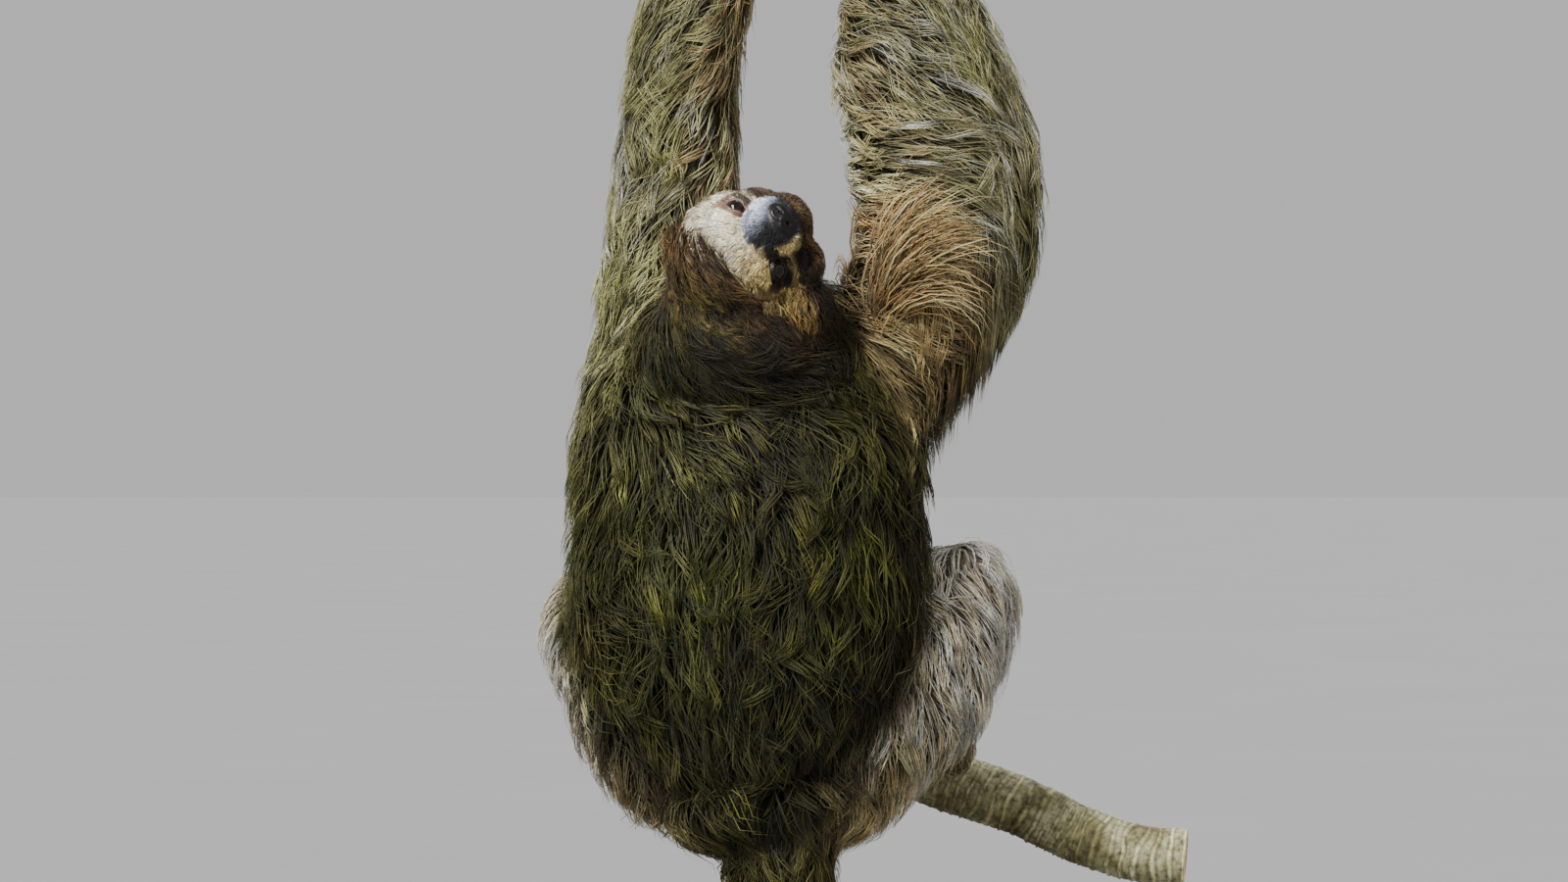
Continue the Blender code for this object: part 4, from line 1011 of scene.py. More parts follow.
def coat_marks(p, n, distance):
    """Colours of the coat by place, from its part and side."""
    _, y, z = p.T
    weight = blend_of(distance)
    broad = noise(p, 0.030, 31)
    nape = mixed(BROWN, DEEP, np.clip(0.5 + 0.4 * broad, 0, 1)) * 0.42
    leg = mixed(PALE_LEG, TAN, np.clip(0.05 + 0.4 * broad + step(0.20, 0.14, z), 0, 0.9))
    tail = mixed(BROWN, ALGAE, 0.25 + step(0.11, 0.07, z) * 0.5)
    arms = (arm_left_marks(n, broad), arm_right_marks(p, n, broad))
    colours = (back_marks(p, n, broad), nape, *arms, leg, leg, tail, head_marks(to_head(p)))
    total = sum(weight[:, i : i + 1] * colour for i, colour in enumerate(colours))
    green = 0.25 * np.clip(noise(p, 0.045, 33), 0, 1) * (1 - weight[:, HEAD]) * step(0.06, -0.02, y)
    total = mixed(total, ALGAE * 0.8, green)
    plain = total.mean(axis=1, keepdims=True)
    return np.clip(plain + (total - plain) * SATURATION, 0.001, 0.95)


def bare_share(p):
    """How bare the skin is: the nose, and the rims of lids and mouth."""
    local = to_head(p)
    bare = step(1.2, 0.2, ellipsoid_distance(local, NOSE_CENTRE, NOSE_SIZE)) * step(12, 14, local[:, 2])
    for side in (1, -1):
        q = in_eye(local, side)
        ring = np.sqrt((q[:, 0] / 1.4) ** 2 + q[:, 1] ** 2)
        bare = np.maximum(bare, step(5.9, 5.0, ring) * step(0, 2, q[:, 2]))
    return np.maximum(bare, step(2.2, 1.4, path_distance(local, mouth_path())))


def set_colours(mesh, colours):
    layer = mesh.color_attributes.new("tint", "FLOAT_COLOR", "POINT")
    rgba = np.ones((len(mesh.vertices), 4), dtype=np.float32)
    rgba[:, :3] = colours
    layer.data.foreach_set("color", rgba.ravel())


def set_values(mesh, name, values):
    layer = mesh.attributes.new(name, "FLOAT", "POINT")
    layer.data.foreach_set("value", values.astype(np.float32))


def arrays_of(mesh):
    """A mesh's points and their normals."""
    found = []
    for name in ("co", "normal"):
        values = np.empty(len(mesh.vertices) * 3, dtype=np.float32)
        mesh.vertices.foreach_get(name, values)
        found.append(values.reshape(-1, 3).astype(float))
    return found


def paint_skin(skin):
    """The coat's colours, darkened where the hair is long as painted shade under the coat, and the bare
    skin's own.
    """
    points, normals = arrays_of(skin.data)
    distance, _ = places(points)
    local = to_head(points)
    marks = coat_marks(points, normals, distance)
    bare = bare_share(points)
    short = blend_of(distance)[:, HEAD] * (1 - long_share(local))
    # Darkened far more under long hair than under short, as painted shade beneath the coat
    furred_with_painted_shade = mixed(marks * 0.22, marks * 0.85, short)
    dark = mixed(MUZZLE * 0.5, NOSE_BLACK, step(13, 19, local[:, 2]))
    for side, tone in ((1, LID_BROWN * 0.7), (-1, LID_DARK)):
        close = np.linalg.norm(local - EYE_CENTRE * (side, 1, 1), axis=-1)
        dark = mixed(dark, tone, step(10.5, 9.0, close))
    set_colours(skin.data, mixed(furred_with_painted_shade, dark, bare))
    set_values(skin.data, "bare", bare)


class Ground:
    """The skin as a search tree, and its faces as places for roots."""

    def __init__(self, skin):
        mesh = skin.data
        self.points, _ = arrays_of(mesh)
        mesh.calc_loop_triangles()
        corners = np.empty(len(mesh.loop_triangles) * 3, dtype=np.int32)
        mesh.loop_triangles.foreach_get("vertices", corners)
        self.corners = corners.reshape(-1, 3)
        self.tree = BVHTree.FromPolygons([Vector(p) for p in self.points], self.corners.tolist())
        a, b, c = (self.points[self.corners[:, i]] for i in range(3))
        area = np.cross(b - a, c - a)
        self.area = np.linalg.norm(area, axis=-1) / 2
        self.middle = (a + b + c) / 3
        self.normal = unit(area)

    def nearest(self, points):
        """The nearest places on the skin, and its normals there."""
        found = [self.tree.find_nearest(Vector(p)) for p in points]
        return np.array([f[0] for f in found]), np.array([f[1] for f in found])

    def scatter(self, density, rng):
        """Roots spread evenly at a density per square metre that each face gives."""
        expected = self.area * density
        order = np.lexsort((self.middle // 0.004).T)
        total = np.cumsum(expected[order])
        count = int(total[-1])
        marks = np.arange(count) + rng.uniform(0, 1, count)
        faces = order[np.searchsorted(total, marks).clip(0, len(order) - 1)]
        u, v = rng.uniform(0, 1, (2, count))
        flip = u + v > 1
        u, v = np.where(flip, 1 - u, u), np.where(flip, 1 - v, v)
        a, b, c = (self.points[self.corners[faces, i]] for i in range(3))
        return a + (b - a) * u[:, None] + (c - a) * v[:, None], self.normal[faces]


def turned(way, axis, angle):
    c, s = np.cos(angle)[:, None], np.sin(angle)[:, None]
    return way * c + np.cross(axis, way) * s


def lay(ground, roots, normals, shares, length, level, turn, wobble, free, weight, held):
    """Lays tufts over the skin. Gives their centres and outward ways, ring by ring."""
    surface, out = roots, normals
    centres, outs = [roots - normals * ROOT_DEPTH], [normals]
    hanging = roots.copy()
    before = 0.0
    for k, share in enumerate(shares[1:]):
        way, depth = lie_at(surface, out)
        way = turned(way, out, turn * (0.4 + share) + wobble[:, k])
        stride = (length * (share - before))[:, None]
        surface, out = ground.nearest(surface + way * stride)
        rise = depth * level * (1 - (1 - share) ** 2.2)
        lying = surface + out * rise[:, None]
        loose = unit(way + out * 0.35 + np.array((0, 0, -weight)) * share)
        hanging = lying if before < held else hanging + loose * stride
        give = (free * step(0.30, 1.0, np.full(len(roots), share)))[:, None]
        centres.append(lying * (1 - give) + hanging * give)
        outs.append(out)
        before = share
    return np.stack(centres, axis=1), np.stack(outs, axis=1)


def leaders(roots, share, rng):
    """For each tuft, the nearest of a share of them picked at random."""
    picked = np.flatnonzero(rng.uniform(0, 1, len(roots)) < share)
    tree = KDTree(len(picked))
    for k, i in enumerate(picked):
        tree.insert(roots[i], k)
    tree.balance()
    return np.array([picked[tree.find(root)[1]] for root in roots])


def gather(centres, shares, lead, strength, rng):
    """Draws the tips of tufts together to the one that leads them, as damp hair does."""
    pull = strength * rng.uniform(0.6, 1.0, len(centres))
    amount = pull[:, None, None] * (np.array(shares) ** 1.2)[None, :, None]
    return centres + (centres[lead] - centres) * amount


def chart(part, points, along):
    """Places in OFBake, from an unwrap of each part's own shape: the way round it, and along it."""
    if part in LINES:
        line = LINES[part]
        t = along * (len(line) - 1)
        low = np.clip(t.astype(int), 0, len(line) - 2)
        centre = line[low, :3] + (line[low + 1, :3] - line[low, :3]) * (t - low)[:, None]
        side, up = across(line[:, :3], (0, 1, 0))
        away = points - centre
        turn = np.arctan2(dot(away, up[low]), dot(away, side[low]))
        down = along
    elif part == "head":
        away = unit(to_head(points) - HEAD_START)
        turn = np.arctan2(away[:, 1], away[:, 0])
        down = np.arccos(np.clip(away[:, 2], -1, 1)) / math.pi
    else:
        away = points - TRUNK_MIDDLE
        turn = np.arctan2(away[:, 1], away[:, 0])
        down = (points[:, 2] - 0.09) / 0.34
    spot = np.stack((turn / (2 * math.pi) + 0.5, down), axis=1)
    return np.clip(spot, 0, 1) * CHART_SHARE + (1 - CHART_SHARE) / 2


def tuft_points(centres, outs, widths, shares):
    """Three points for each ring of each tuft, and one at its tip."""
    side = unit(np.cross(unit(np.gradient(centres, axis=1)), outs))
    profile = np.interp(shares, (0, 0.35, 0.75, 1.0), (0.75, 1.0, 0.62, 0.0))
    half = (widths[:, None] * profile[None, :] / 2)[..., None]
    rings = np.stack((centres - side * half, centres + side * half, centres + outs * half), axis=2)
    return np.concatenate((rings[:, :-1].reshape(len(centres), -1, 3), centres[:, -1:]), axis=1)


def tuft_faces(body, count):
    """Triangles of closed three-sided tufts with a number of rings before the tip."""
    one = [(0, 2, 1)]
    for a in range(0, 3 * body - 3, 3):
        for j, m in round_pairs(3):
            one += [(a + j, a + m, a + 3 + m), (a + j, a + 3 + m, a + 3 + j)]
    tip = 3 * body
    one += [(tip - 3 + j, tip - 3 + m, tip) for j, m in round_pairs(3)]
    return (np.array(one)[None] + (np.arange(count) * (tip + 1))[:, None, None]).reshape(-1, 3)


def tuft_mesh(name, centres, outs, widths, root_tint, tip_tint, uv, shares):
    """One mesh of closed, tapered, three-sided tufts."""
    count, rings = centres.shape[:2]
    points = tuft_points(centres, outs, widths, shares)
    faces = tuft_faces(rings - 1, count)
    mesh = bpy.data.meshes.new(name)
    mesh.vertices.add(points.shape[0] * points.shape[1])
    mesh.vertices.foreach_set("co", points.astype(np.float32).ravel())
    mesh.loops.add(len(faces) * 3)
    mesh.loops.foreach_set("vertex_index", faces.astype(np.int32).ravel())
    mesh.polygons.add(len(faces))
    mesh.polygons.foreach_set("loop_start", np.arange(0, len(faces) * 3, 3, dtype=np.int32))
    mesh.update(calc_edges=True)
    mesh.shade_smooth()
    # Colours fade from the root's painted shade to the tip
    along = np.append(np.repeat(np.array(shares)[:-1], 3), 1.0)
    share = along[None, :, None] ** 2.4
    colours = root_tint[:, None] * (1 - share) + tip_tint[:, None] * share
    set_colours(mesh, colours.reshape(-1, 3))
    local = [spot for v in shares[:-1] for spot in ((-0.5, v - 0.5), (0.5, v - 0.5), (0.0, v - 0.44))]
    placed = uv[:, None] + np.array([*local, (0.0, 0.5)])[None] * PATCH
    layer = mesh.uv_layers.new(name="OFBake")
    layer.data.foreach_set("uv", placed.reshape(-1, 2)[faces.ravel()].astype(np.float32).ravel())
    made = linked(name, mesh)
    made.data.materials.append(COAT)
    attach(made, "root")


def add_pieces(kind, tufts, roots, owner, along, shares):
    """Makes the tufts on each part into one mesh, or into more where they would be too many for one."""
    triangles = 6 * (len(shares) - 2) + 4
    for i, part in enumerate(PARTS):
        ours = np.flatnonzero(owner == i)
        pieces = math.ceil(len(ours) * triangles / MOST_TRIANGLES)
        for k in range(pieces):
            some = ours[k::pieces]
            name = f"{kind}_{part}" + (f"_{k + 1}" if pieces > 1 else "")
            uv = chart(part, roots[some], along[some, i])
            tuft_mesh(name, *(values[some] for values in tufts), uv, shares)


def per_part(values, owner):
    """For each point its part's value, from one for all or from seven with one for both legs."""
    torso, nape, arm_left, arm_right, leg, tail, head = np.broadcast_to(values, 7)
    return np.array((torso, nape, arm_left, arm_right, leg, leg, tail, head))[owner]


def thick_places(p):
    """How much thicker the coat grows at each point than elsewhere."""
    return 1 + sum(1.2 * bell(np.linalg.norm(p - at, axis=-1), reach) for at, reach in THICK_SPOTS)


def fringe_places(p, n):
    """The underside of the right arm, where long dark locks hang."""
    x, _, z = p.T
    under = step(0.35, -0.05, n[:, 2]) * step(0.054, 0.070, x) * step(0.455, 0.425, z)
    return under * step(0.328, 0.345, z)


def crop_density(kind, crop, ground):
    """Tufts for each square metre, face by face."""
    distance, _ = places(ground.middle)
    owner = distance.argmin(axis=1)
    long_hair = long_share(to_head(ground.middle))
    density = per_part(crop["per_cm2"], owner) * CM2_IN_M2 * 1.0
    density = density * thick_places(ground.middle)
    if kind == "under":
        density = density * step(0.002, 0.006, -distance.min(axis=1))
    if kind == "fringe":
        density = density * fringe_places(ground.middle, ground.normal)
    if kind == "face":
        short = (1 - 0.8 * long_hair) * (1 - bare_share(ground.middle))
        return np.where(owner == HEAD, density, 0) * short
    return density * np.where(owner == HEAD, long_hair, 1)


def crop_lengths(kind, crop, roots, owner, rng):
    """Each tuft's length: shorter toward the nose and off the crown, longest in the fringe."""
    lengths = per_part(crop["length"], owner) * MM * rng.uniform(0.7, 1.2, len(roots))
    local = to_head(roots)
    if kind == "face":
        return lengths * (0.28 + 0.8 * step(13, 30, np.linalg.norm(local - (0, -8.5, 16), axis=-1)))
    lengths = np.where(owner == HEAD, lengths * (0.55 + 0.45 * crown_share(local)), lengths)
    if kind == "fringe":
        lengths = lengths * (1 + 0.75 * bell(roots[:, 0] - 0.094, 0.014))
    return lengths


def crop_tints(crop, marks, local, owner, clump, lock, rng):
    """Each tuft's colours at its root and its tip, alike in tone within its clump and lock, the root darkened
    as painted shade deep in the coat.
    """
    count = len(marks)
    of_clump, of_lock, of_tuft = (rng.normal(0, spread, count) for spread in SHADE_SPREADS)
    shade = of_clump[clump] + of_lock[lock] + of_tuft
    lift = per_part(BRIGHTNESS, owner)
    lift = np.where(owner == HEAD, lift * (1 - 0.18 * crown_share(local)), lift)
    greyed = marks.mean(axis=1, keepdims=True) * np.array((1.05, 1.0, 0.82))
    bright = (np.exp(shade) * lift * crop["bright"])[:, None]
    tips = mixed(marks, greyed, rng.uniform(0, 0.35, count)) * bright
    tips = np.clip(tips, 0, 0.95)
    # Roots far darker than tips as painted shade deep in the coat; less so under the face's short hair
    pale = per_part(PAINTED_ROOT_SHADE, owner)
    pale = np.where(owner == HEAD, 0.25 + 0.60 * (1 - long_share(local)), pale)
    return tips * pale[:, None], tips


def add_crop(kind, crop, ground, rng):
    """One crop of tufts over the whole body."""
    roots, normals = ground.scatter(crop_density(kind, crop, ground), rng)
    distance, along = places(roots)
    owner = distance.argmin(axis=1)
    count = len(roots)
    paw = paw_share(owner, along, 0.86)
    lengths = crop_lengths(kind, crop, roots, owner, rng) * (1 - 0.62 * paw)
    widths = per_part(crop["width"], owner) * MM * rng.uniform(0.7, 1.3, count) * (1 - 0.45 * paw)
    shares = crop["shares"]
    leading, to_clump, to_lock = crop["clumps"]
    clump = leaders(roots, leading, rng)
    lock = leaders(roots, leading * 0.16, rng)

    def shared(values, with_clump, with_lock):
        return values[clump] * with_clump + values[lock] * with_lock + values * (1 - with_clump - with_lock)

    level = shared(rng.uniform(*crop["level"], count), 0.4, 0.35)
    turn = shared(rng.normal(0, crop["stray"], count), 0.3, 0.4)
    unruly = per_part(UNRULY, owner)
    curl = (shared(rng.normal(0, 1.2, count), 0.45, 0.45) * unruly)[:, None]
    sway = (shared(rng.normal(0, 0.40, count), 0.5, 0.4) * unruly)[:, None]
    at = np.array(shares)[None, 1:]
    wobble = curl * (at - 0.3) + sway * np.sin(6.3 * at)
    wobble = wobble + shared(rng.normal(0, 0.12, (count, len(shares) - 1)), 0.4, 0.0)
    free = shared(np.clip(rng.uniform(-1.6, 1.0, count), 0, 1), 0.5, 0.35) * crop["loose"] * (1 - paw)
    held = 0.3
    if kind == "fringe":
        free = rng.uniform(0.75, 1.0, count)
        held = 0.1
    laid = lay(ground, roots, normals, shares, lengths, level, turn, wobble, free, crop["weight"], held)
    centres = gather(laid[0], shares, clump, to_clump, rng)
    centres = gather(centres, shares, lock, np.where(paw > 0.3, 0.0, to_lock), rng)
    marks = coat_marks(roots, normals, distance)
    tints = crop_tints(crop, marks, to_head(roots), owner, clump, lock, rng)
    add_pieces(kind, (centres, laid[1], widths, *tints), roots, owner, along, shares)


def add_curl(ground, rng):
    """A curl of long tan hair that arches off the right shoulder, away from the cheek."""
    tries = int(CURL_TUFTS * (1.0))
    spread_x, spread_z = rng.normal(0, 0.65, (2, tries))
    x, y, z = CURL_MIDDLE
    above = vectors(tries, x + CURL_SPREAD[0] * spread_x, y, z + CURL_SPREAD[1] * spread_z)
    roots, outs = ground.nearest(above)
    arm = PARTS.index("arm_right")
    distance, along = places(roots)
    on_arm = distance.argmin(axis=1) == arm
    roots, outs, along, spread_x = roots[on_arm], outs[on_arm], along[on_arm, arm], spread_x[on_arm]
    count = len(roots)
    lengths = CURL_LENGTH * rng.uniform(0.45, 1.05, count)
    start = np.radians(100 - 14 * spread_x + rng.normal(0, 17, count))
    bend = np.radians(122 + rng.normal(0, 32, count))
    lift = rng.uniform(1.6, 4.4, count)
    at = roots - outs * 0.001
    centres = [at]
    for low, high in zip(CURL_SHARES[:-1], CURL_SHARES[1:]):
        middle = (low + high) / 2
        angle = start - bend * middle
        toward = -lift * max(0, 1 - middle / 0.5) + 0.3 * max(0, middle - 0.6)
        way = unit(np.stack((np.cos(angle), toward, np.sin(angle)), axis=1))
        at = at + way * (lengths * (high - low))[:, None]
        centres.append(at)
    clump = leaders(roots, 0.09, rng)
    centres = gather(np.stack(centres, axis=1), CURL_SHARES, clump, 0.62, rng)
    outward = np.broadcast_to(CURL_OUTWARD, centres.shape)
    shade = np.exp(rng.normal(0, 0.42, count)[clump] + rng.normal(0, 0.3, count))[:, None]
    tips = mixed(SHOULDER, GREY_TAN, rng.uniform(0, 0.8, count)) * shade * 1.1
    tips = np.clip(tips, 0, 0.95)
    widths = CURL_WIDTH * rng.uniform(0.7, 1.3, count)
    uv = chart("arm_right", roots, along)
    # The curl's roots darkened against its tips as painted shade
    tuft_mesh("curl_arm_right", centres, outward, widths, tips * CURL_ROOT_SHADE, tips, uv, CURL_SHARES)


def grow_coat(skin):
    ground = Ground(skin)
    rng = np.random.default_rng(COAT_SEED)
    for kind, crop in CROPS.items():
        add_crop(kind, crop, ground, rng)
        if kind == LAST_CROP_BEFORE_CURL:
            add_curl(ground, rng)


def nodes_of(name):
    material = bpy.data.materials.new(name)
    material.use_nodes = True
    return material, material.node_tree, material.node_tree.nodes["Principled BSDF"]


def texture(tree, kind, scale, **values):
    """A texture over the object's own places. Gives its value."""
    made = tree.nodes.new("ShaderNodeTex" + kind)
    made.inputs["Scale"].default_value = scale
    for key, value in values.items():
        made.inputs[key].default_value = value
    coords = tree.nodes.get("coords")
    if coords is None:
        coords = tree.nodes.new("ShaderNodeTexCoord")
        coords.name = "coords"
    tree.links.new(coords.outputs["Object"], made.inputs["Vector"])
    return made.outputs["Distance" if kind == "Voronoi" else "Fac"]


def attribute(tree, name, output):
    made = tree.nodes.new("ShaderNodeAttribute")
    made.attribute_name = name
    return made.outputs[output]


def ramp(tree, source, *stops):
    """Colours by a value. Each stop is a place on it and a colour in linear light."""
    made = tree.nodes.new("ShaderNodeValToRGB")
    tree.links.new(source, made.inputs["Fac"])
    elements = made.color_ramp.elements
    while len(elements) < len(stops):
        elements.new(0.5)
    for element, (at, colour) in zip(elements, stops):
        element.position = at
        element.color = (*colour, 1)
    return made.outputs["Color"]


def multiply(tree, first, *others):
    """Colours multiplied together."""
    for other in others:
        made = tree.nodes.new("ShaderNodeMix")
        made.data_type = "RGBA"
        made.blend_type = "MULTIPLY"
        made.inputs["Factor"].default_value = 1.0
        tree.links.new(first, made.inputs[6])
        tree.links.new(other, made.inputs[7])
        first = made.outputs[2]
    return first


def spread(tree, source, low, high):
    """A value from 0 to 1 moved to run from low to high."""
    made = tree.nodes.new("ShaderNodeMapRange")
    made.inputs["To Min"].default_value = low
    made.inputs["To Max"].default_value = high
    tree.links.new(source, made.inputs["Value"])
    return made.outputs["Result"]


def bump(tree, shader, height, strength, distance):
    made = tree.nodes.new("ShaderNodeBump")
    made.inputs["Strength"].default_value = strength
    made.inputs["Distance"].default_value = distance
    tree.links.new(height, made.inputs["Height"])
    tree.links.new(made.outputs["Normal"], shader.inputs["Normal"])


def finish(tree, shader, colour, roughness, **fixed):
    """Wires a shader's colour and roughness, and sets its other sockets."""
    tree.links.new(colour, shader.inputs["Base Color"])
    tree.links.new(roughness, shader.inputs["Roughness"])
    for name, value in fixed.items():
        shader.inputs[name.replace("_", " ")].default_value = value


def coat_material():
    material, tree, shader = nodes_of("tufts")
    tint = attribute(tree, "tint", "Color")
    patchy = texture(tree, "Noise", 70, Detail=4.0)
    fine = texture(tree, "Noise", 900, Detail=2.0)
    soft = ramp(tree, patchy, (0.3, (0.62, 0.62, 0.60)), (0.7, (1.25, 1.22, 1.12)))
    grain = ramp(tree, fine, (0.35, (0.75, 0.74, 0.72)), (0.65, (1.2, 1.2, 1.18)))
    finish(
        tree,
        shader,
        multiply(tree, tint, soft, grain),
        spread(tree, fine, 0.42, 0.68),
        Specular_IOR_Level=0.22,
        Sheen_Weight=0.05,
        Sheen_Roughness=0.5,
    )
    return material


COAT = coat_material()


def skin_material():
    material, tree, shader = nodes_of("skin")
    tint = attribute(tree, "tint", "Color")
    bare = attribute(tree, "bare", "Fac")
    fur = texture(tree, "Noise", 1400, Detail=5.0, Roughness=0.7)
    patchy = texture(tree, "Noise", 160, Detail=4.0)
    pores = texture(tree, "Voronoi", 1500)
    soft = ramp(tree, patchy, (0.3, (0.7, 0.7, 0.68)), (0.7, (1.15, 1.13, 1.1)))
    hairs = ramp(tree, fur, (0.35, (0.45, 0.44, 0.42)), (0.65, (1.2, 1.2, 1.18)))
    colour = multiply(tree, tint, soft, hairs)
    finish(tree, shader, colour, spread(tree, bare, 0.80, 0.34), Specular_IOR_Level=0.25)
    height = tree.nodes.new("ShaderNodeMix")
    tree.links.new(bare, height.inputs["Factor"])
    tree.links.new(fur, height.inputs[2])
    tree.links.new(spread(tree, pores, 0.38, 0.68), height.inputs[3])
    bump(tree, shader, height.outputs[0], 0.6, 0.0006)
    return material


def eye_material():
    material, tree, shader = nodes_of("eye")
    look = texture(tree, "Noise", 900, Detail=3.0)
    iris = ramp(
        tree,
        attribute(tree, "facing", "Fac"),
        (0.0, rgb(34, 26, 22)),
        (0.80, rgb(20, 14, 10)),
        (0.90, rgb(30, 20, 14)),
        (0.955, rgb(16, 10, 7)),
        (0.97, (0.002, 0.002, 0.002)),
    )
    speck = ramp(tree, look, (0.3, (0.7, 0.7, 0.7)), (0.7, (1.2, 1.2, 1.2)))
    finish(
        tree,
        shader,
        multiply(tree, iris, speck),
        spread(tree, look, 0.10, 0.18),
        Specular_IOR_Level=0.1,
        Coat_Weight=1.0,
        Coat_IOR=1.3,
        Coat_Roughness=0.03,
    )
    return material


def make_eyes():
    """Wet dark balls with a faint brown ring round the pupil, in place of the plain ones."""
    material = eye_material()
    for side, name in ((1, "left"), (-1, "right")):
        points, faces = ball((0, 0, 0), np.ones(3) * EYE_RADIUS, 40, 56)
        facing = points[:, 2] / EYE_RADIUS
        points = points * (1 + 0.045 * step(0.72, 1.0, facing))[:, None]
        placed = from_head(EYE_CENTRE * (side, 1, 1) + points @ look_frame(side).T)
        eye = mesh_object(f"eyeball_{name}", placed, faces)
        fix_normals(eye.data)
        set_values(eye.data, "facing", np.clip(facing, 0, 1))
        eye.data.materials.append(material)
        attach(eye, "root")
        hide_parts(f"eye_{name}")


def make_ears(material):
    """Small cupped ears, nearly lost in the fur behind the cheeks: dark brown, partly the fur's own colour
    and partly painted shade.
    """
    for side, name in ((1, "left"), (-1, "right")):
        points, faces = ball((0, 0, 0), np.ones(3), 30, 40)
        cup = step(0.15, 0.85, points[:, 0] * 0.9 + points[:, 2] * 0.3)
        points = points - np.array((1.15, 0, 0.25)) * cup[:, None]
        points = points * (1 + 0.03 * noise(points, 0.35, 51))[:, None]
        placed = from_head((EAR_CENTRE + points * EAR_SIZE) * (side, 1, 1))
        ear = mesh_object(f"ear_shell_{name}", placed, faces)
        fix_normals(ear.data)
        # Dark mask brown, browner in the cup: partly the crown's own colour, partly painted shade so that the
        # ears sink into the fur
        set_colours(ear.data, mixed(MASK, CROWN, 0.6 * cup))
        set_values(ear.data, "bare", 0.35 + 0.4 * cup)
        ear.data.materials.append(material)
        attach(ear, "root")
        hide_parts(f"ear_{name}")


def horn_material():
    material, tree, shader = nodes_of("horn")
    streak = texture(tree, "Noise", 260, Detail=6.0, Distortion=0.6)
    tone_shift = texture(tree, "Noise", 60, Detail=3.0)
    colour = ramp(tree, streak, (0.30, rgb(96, 78, 52)), (0.5, rgb(150, 130, 94)), (0.72, rgb(186, 170, 134)))
    shade = ramp(tree, tone_shift, (0.3, (0.6, 0.58, 0.55)), (0.7, (1.05, 1.05, 1.0)))
    finish(tree, shader, multiply(tree, colour, shade), spread(tree, streak, 0.32, 0.52))
    bump(tree, shader, streak, 0.3, 0.0004)
    return material


def make_claws():
    """Each claw rounded from its solid, with faint lines along the horn."""
    material = horn_material()
    for node in [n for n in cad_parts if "_claw_" in n]:
        claw = mesh_object("horn_" + node, *solid_of(node))
        remeshed(claw, 0.0006, 6)
        claw.data.materials.append(material)
        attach(claw, "root")
        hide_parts(node)


def bark_material():
    material, tree, shader = nodes_of("bark")
    tint = attribute(tree, "tint", "Color")
    flakes = texture(tree, "Noise", 240, Detail=8.0, Roughness=0.7)
    patches = texture(tree, "Noise", 38, Detail=5.0, Roughness=0.6)
    lichen = texture(tree, "Voronoi", 90)
    colour = ramp(
        tree,
        patches,
        (0.32, rgb(112, 98, 66)),
        (0.47, rgb(158, 152, 112)),
        (0.60, rgb(206, 202, 168)),
        (0.75, rgb(150, 158, 102)),
    )
    dark = ramp(tree, flakes, (0.34, (0.26, 0.24, 0.18)), (0.56, (1.1, 1.1, 1.06)))
    spots = ramp(tree, lichen, (0.0, (1.25, 1.27, 1.2)), (0.28, (1.0, 1.0, 1.0)))
    finish(tree, shader, multiply(tree, colour, dark, spots, tint), spread(tree, flakes, 0.75, 0.95))
    bump(tree, shader, flakes, 0.7, 0.0012)
    return material


def bark_rings(centres, radii):
    """Rings of points round a branch with scars, dips and cracks, and a tint for each point: paler on the
    scars, darker in the dips as painted shade.
    """
    length = np.concatenate(([0], np.cumsum(np.linalg.norm(np.diff(centres, axis=0), axis=1))))
    ways = ways_round(*across(centres, (0, 0, 1)), PERCH_SIDES)
    flat = (centres[:, None] + ways * radii[:, None, None]).reshape(-1, 3)

    def rough(size, seed, stretch=1):
        return noise(flat * stretch, size, seed).reshape(ways.shape[:2])

    drift = noise(vectors(len(length), length, 0, 0), 0.02, 46)[:, None]
    phase = length[:, None] / RING_SPACING + 0.9 * rough(0.016, 41) + 1.3 * drift
    ring = np.abs(phase - np.round(phase)) * 2
    scar = bell(ring, 0.20) * np.clip(0.75 + 0.6 * rough(0.007, 42), 0.1, 1.3)
    dips = 0.0004 * bell(ring - 0.42, 0.16)
    relief = 0.00035 * rough(0.009, 43) + 0.00022 * rough(0.0028, 44)
    cracks = 0.0004 * np.clip(rough(0.0022, 45, (0.35, 1, 1)) - 0.35, 0, 1)
    reach = radii[:, None] * 0.975 + relief - cracks + 0.0007 * scar - dips
    # Tint: paler on the ring scars and darker in the dips beside them, the darkening being painted shade
    tone_shift = (0.85 + 0.85 * np.clip(scar, 0, 1) - 900 * dips).reshape(-1, 1)
    return centres[:, None] + ways * reach[..., None], tone_shift


def sawn_end(centre, rim, before, start, outward):
    """Points, tints and faces of a sawn end, from its rim in to the pith."""
    points, tints, faces = [], [], []
    pairs = round_pairs(len(rim))
    for size in GRAIN_RINGS:
        points.append(centre + (rim - centre) * size)
        tints.append(np.tile(SAWN_TINT * (0.9 + 0.12 * math.cos(40 * size)), (len(rim), 1)))
        faces += [(before + j, before + k, start + k, start + j) for j, k in pairs]
        before = start
        start += len(rim)
    faces += [(before + j, before + k, start) for j, k in pairs]
    faces = faces if outward else [face[::-1] for face in faces]
    return [*points, centre[None]], [*tints, PITH_TINT], faces


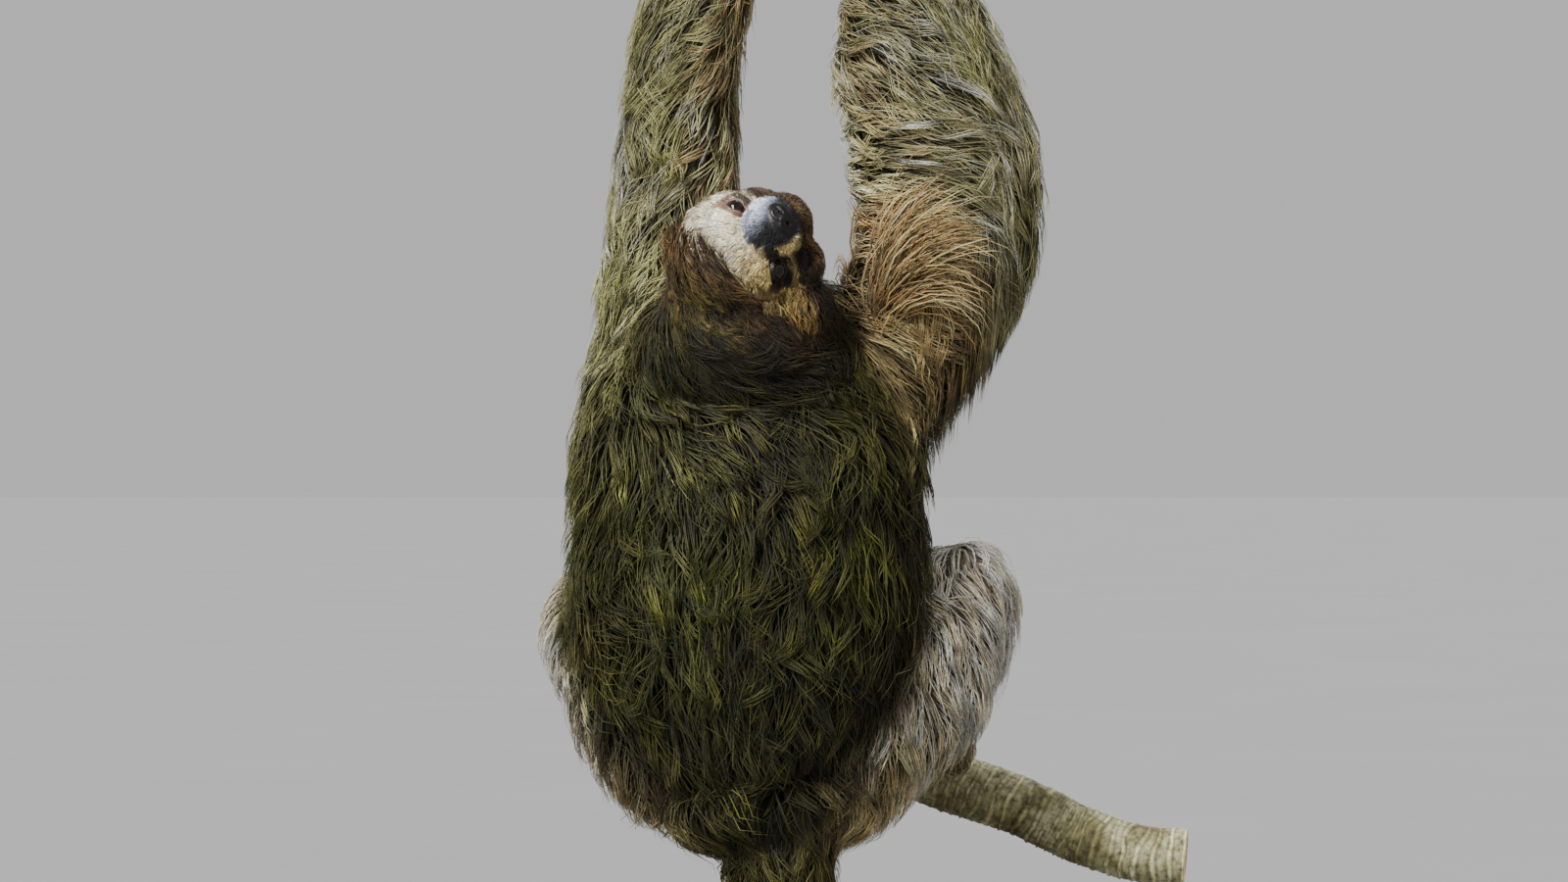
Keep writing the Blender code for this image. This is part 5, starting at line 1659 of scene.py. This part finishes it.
def make_perches():
    """The two cut lengths of branch, with ring scars, cracks and sawn ends."""
    material = bark_material()
    for node, stations in (("perch_low", LOW_PERCH), ("perch_high", HIGH_PERCH)):
        line = sampled(stations, PERCH_STEPS)
        centres = line[:, :3]
        rings, tone_shift = bark_rings(centres, line[:, 3])
        points = [rings.reshape(-1, 3)]
        tints = [tone_shift * np.array((1.0, 1.0, 0.92))]
        faces = grid_faces(len(centres), PERCH_SIDES)
        for end, rim_start, outward in ((0, 0, True), (-1, len(points[0]) - PERCH_SIDES, False)):
            start = sum(len(some) for some in points)
            cut = sawn_end(centres[end], rings[end], rim_start, start, outward)
            points += cut[0]
            tints += cut[1]
            faces += cut[2]
        branch = mesh_object("branch_" + node[6:], np.vstack(points), faces)
        fix_normals(branch.data)
        set_colours(branch.data, np.vstack(tints))
        branch.data.materials.append(material)
        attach(branch, "root")
        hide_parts(node)


def stand_material():
    material, tree, shader = nodes_of("stand_paint")
    fine = texture(tree, "Noise", 1800, Detail=3.0)
    smudge = texture(tree, "Noise", 14, Detail=4.0)
    colour = ramp(tree, smudge, (0.3, rgb(34, 34, 36)), (0.7, rgb(48, 48, 50)))
    finish(tree, shader, colour, spread(tree, smudge, 0.38, 0.56))
    bump(tree, shader, fine, 0.25, 0.0003)
    return material


def steel_material():
    material, tree, shader = nodes_of("rod_steel")
    brushed = texture(tree, "Noise", 500, Detail=4.0)
    colour = ramp(tree, brushed, (0.3, rgb(150, 150, 152)), (0.7, rgb(182, 182, 184)))
    finish(tree, shader, colour, spread(tree, brushed, 0.26, 0.42), Metallic=1.0)
    return material


def finish_stand():
    """Satin black base and brushed steel rods, on the solids themselves."""
    paint, steel = stand_material(), steel_material()
    for node, dress in (("stand_base", paint), ("stand_rod_body", steel), ("stand_rod_perch", steel)):
        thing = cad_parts[node]
        if thing.material_slots:
            for slot in thing.material_slots:
                slot.material = dress
        else:
            thing.data.materials.append(dress)


def make_stage():
    corners = [(x * FLOOR_HALF, y * FLOOR_HALF, -FLOOR_DROP) for x, y in ((-1, -1), (1, -1), (1, 1), (-1, 1))]
    floor = mesh_object("floor", corners, [(0, 1, 2, 3)])
    material, tree, shader = nodes_of("floor_paint")
    mottle = texture(tree, "Noise", 3, Detail=4.0)
    colour = ramp(tree, mottle, (0.3, (0.268, 0.268, 0.268)), (0.7, (0.282, 0.282, 0.282)))
    tree.links.new(colour, shader.inputs["Base Color"])
    shader.inputs["Roughness"].default_value = 0.85
    shader.inputs["Specular IOR Level"].default_value = 0.1
    floor.data.materials.append(material)


def lamp(name, kind, place, target, power):
    """A lamp that shines from one place toward another."""
    data = bpy.data.lights.new(name, kind)
    data.energy = power
    made = linked(name, data)
    made.location = place
    made.rotation_euler = (target - Vector(place)).to_track_quat("-Z", "Y").to_euler()
    return data


def light_and_camera():
    world = bpy.data.worlds.new("studio")
    world.use_nodes = True
    back = world.node_tree.nodes["Background"]
    back.inputs["Color"].default_value = WORLD_GREY
    back.inputs["Strength"].default_value = WORLD_STRENGTH
    bpy.context.scene.world = world
    for name, (place, power, degrees) in (("key", KEY_SUN), ("back", BACK_SUN)):
        lamp(name, "SUN", place, Vector(), power).angle = math.radians(degrees)
    place, power, degrees = FACE_SPOT
    spot = lamp("face_light", "SPOT", place, FACE_POINT, power)
    spot.spot_size = math.radians(degrees)
    spot.spot_blend = 1.0
    spot.shadow_soft_size = 0.06
    data = bpy.data.cameras.new("camera")
    data.sensor_width = CAMERA_SENSOR
    data.lens = CAMERA_LENS
    camera = linked("camera", data)
    camera.location = CAMERA_PLACE
    camera.rotation_euler = (math.pi / 2, 0, 0)
    bpy.context.scene.camera = camera


def main():
    light_and_camera()
    make_stage()
    skin = make_skin()
    paint_skin(skin)
    fur = skin_material()
    skin.data.materials.clear()
    skin.data.materials.append(fur)
    make_ears(fur)
    make_eyes()
    make_claws()
    make_perches()
    finish_stand()
    grow_coat(skin)


main()
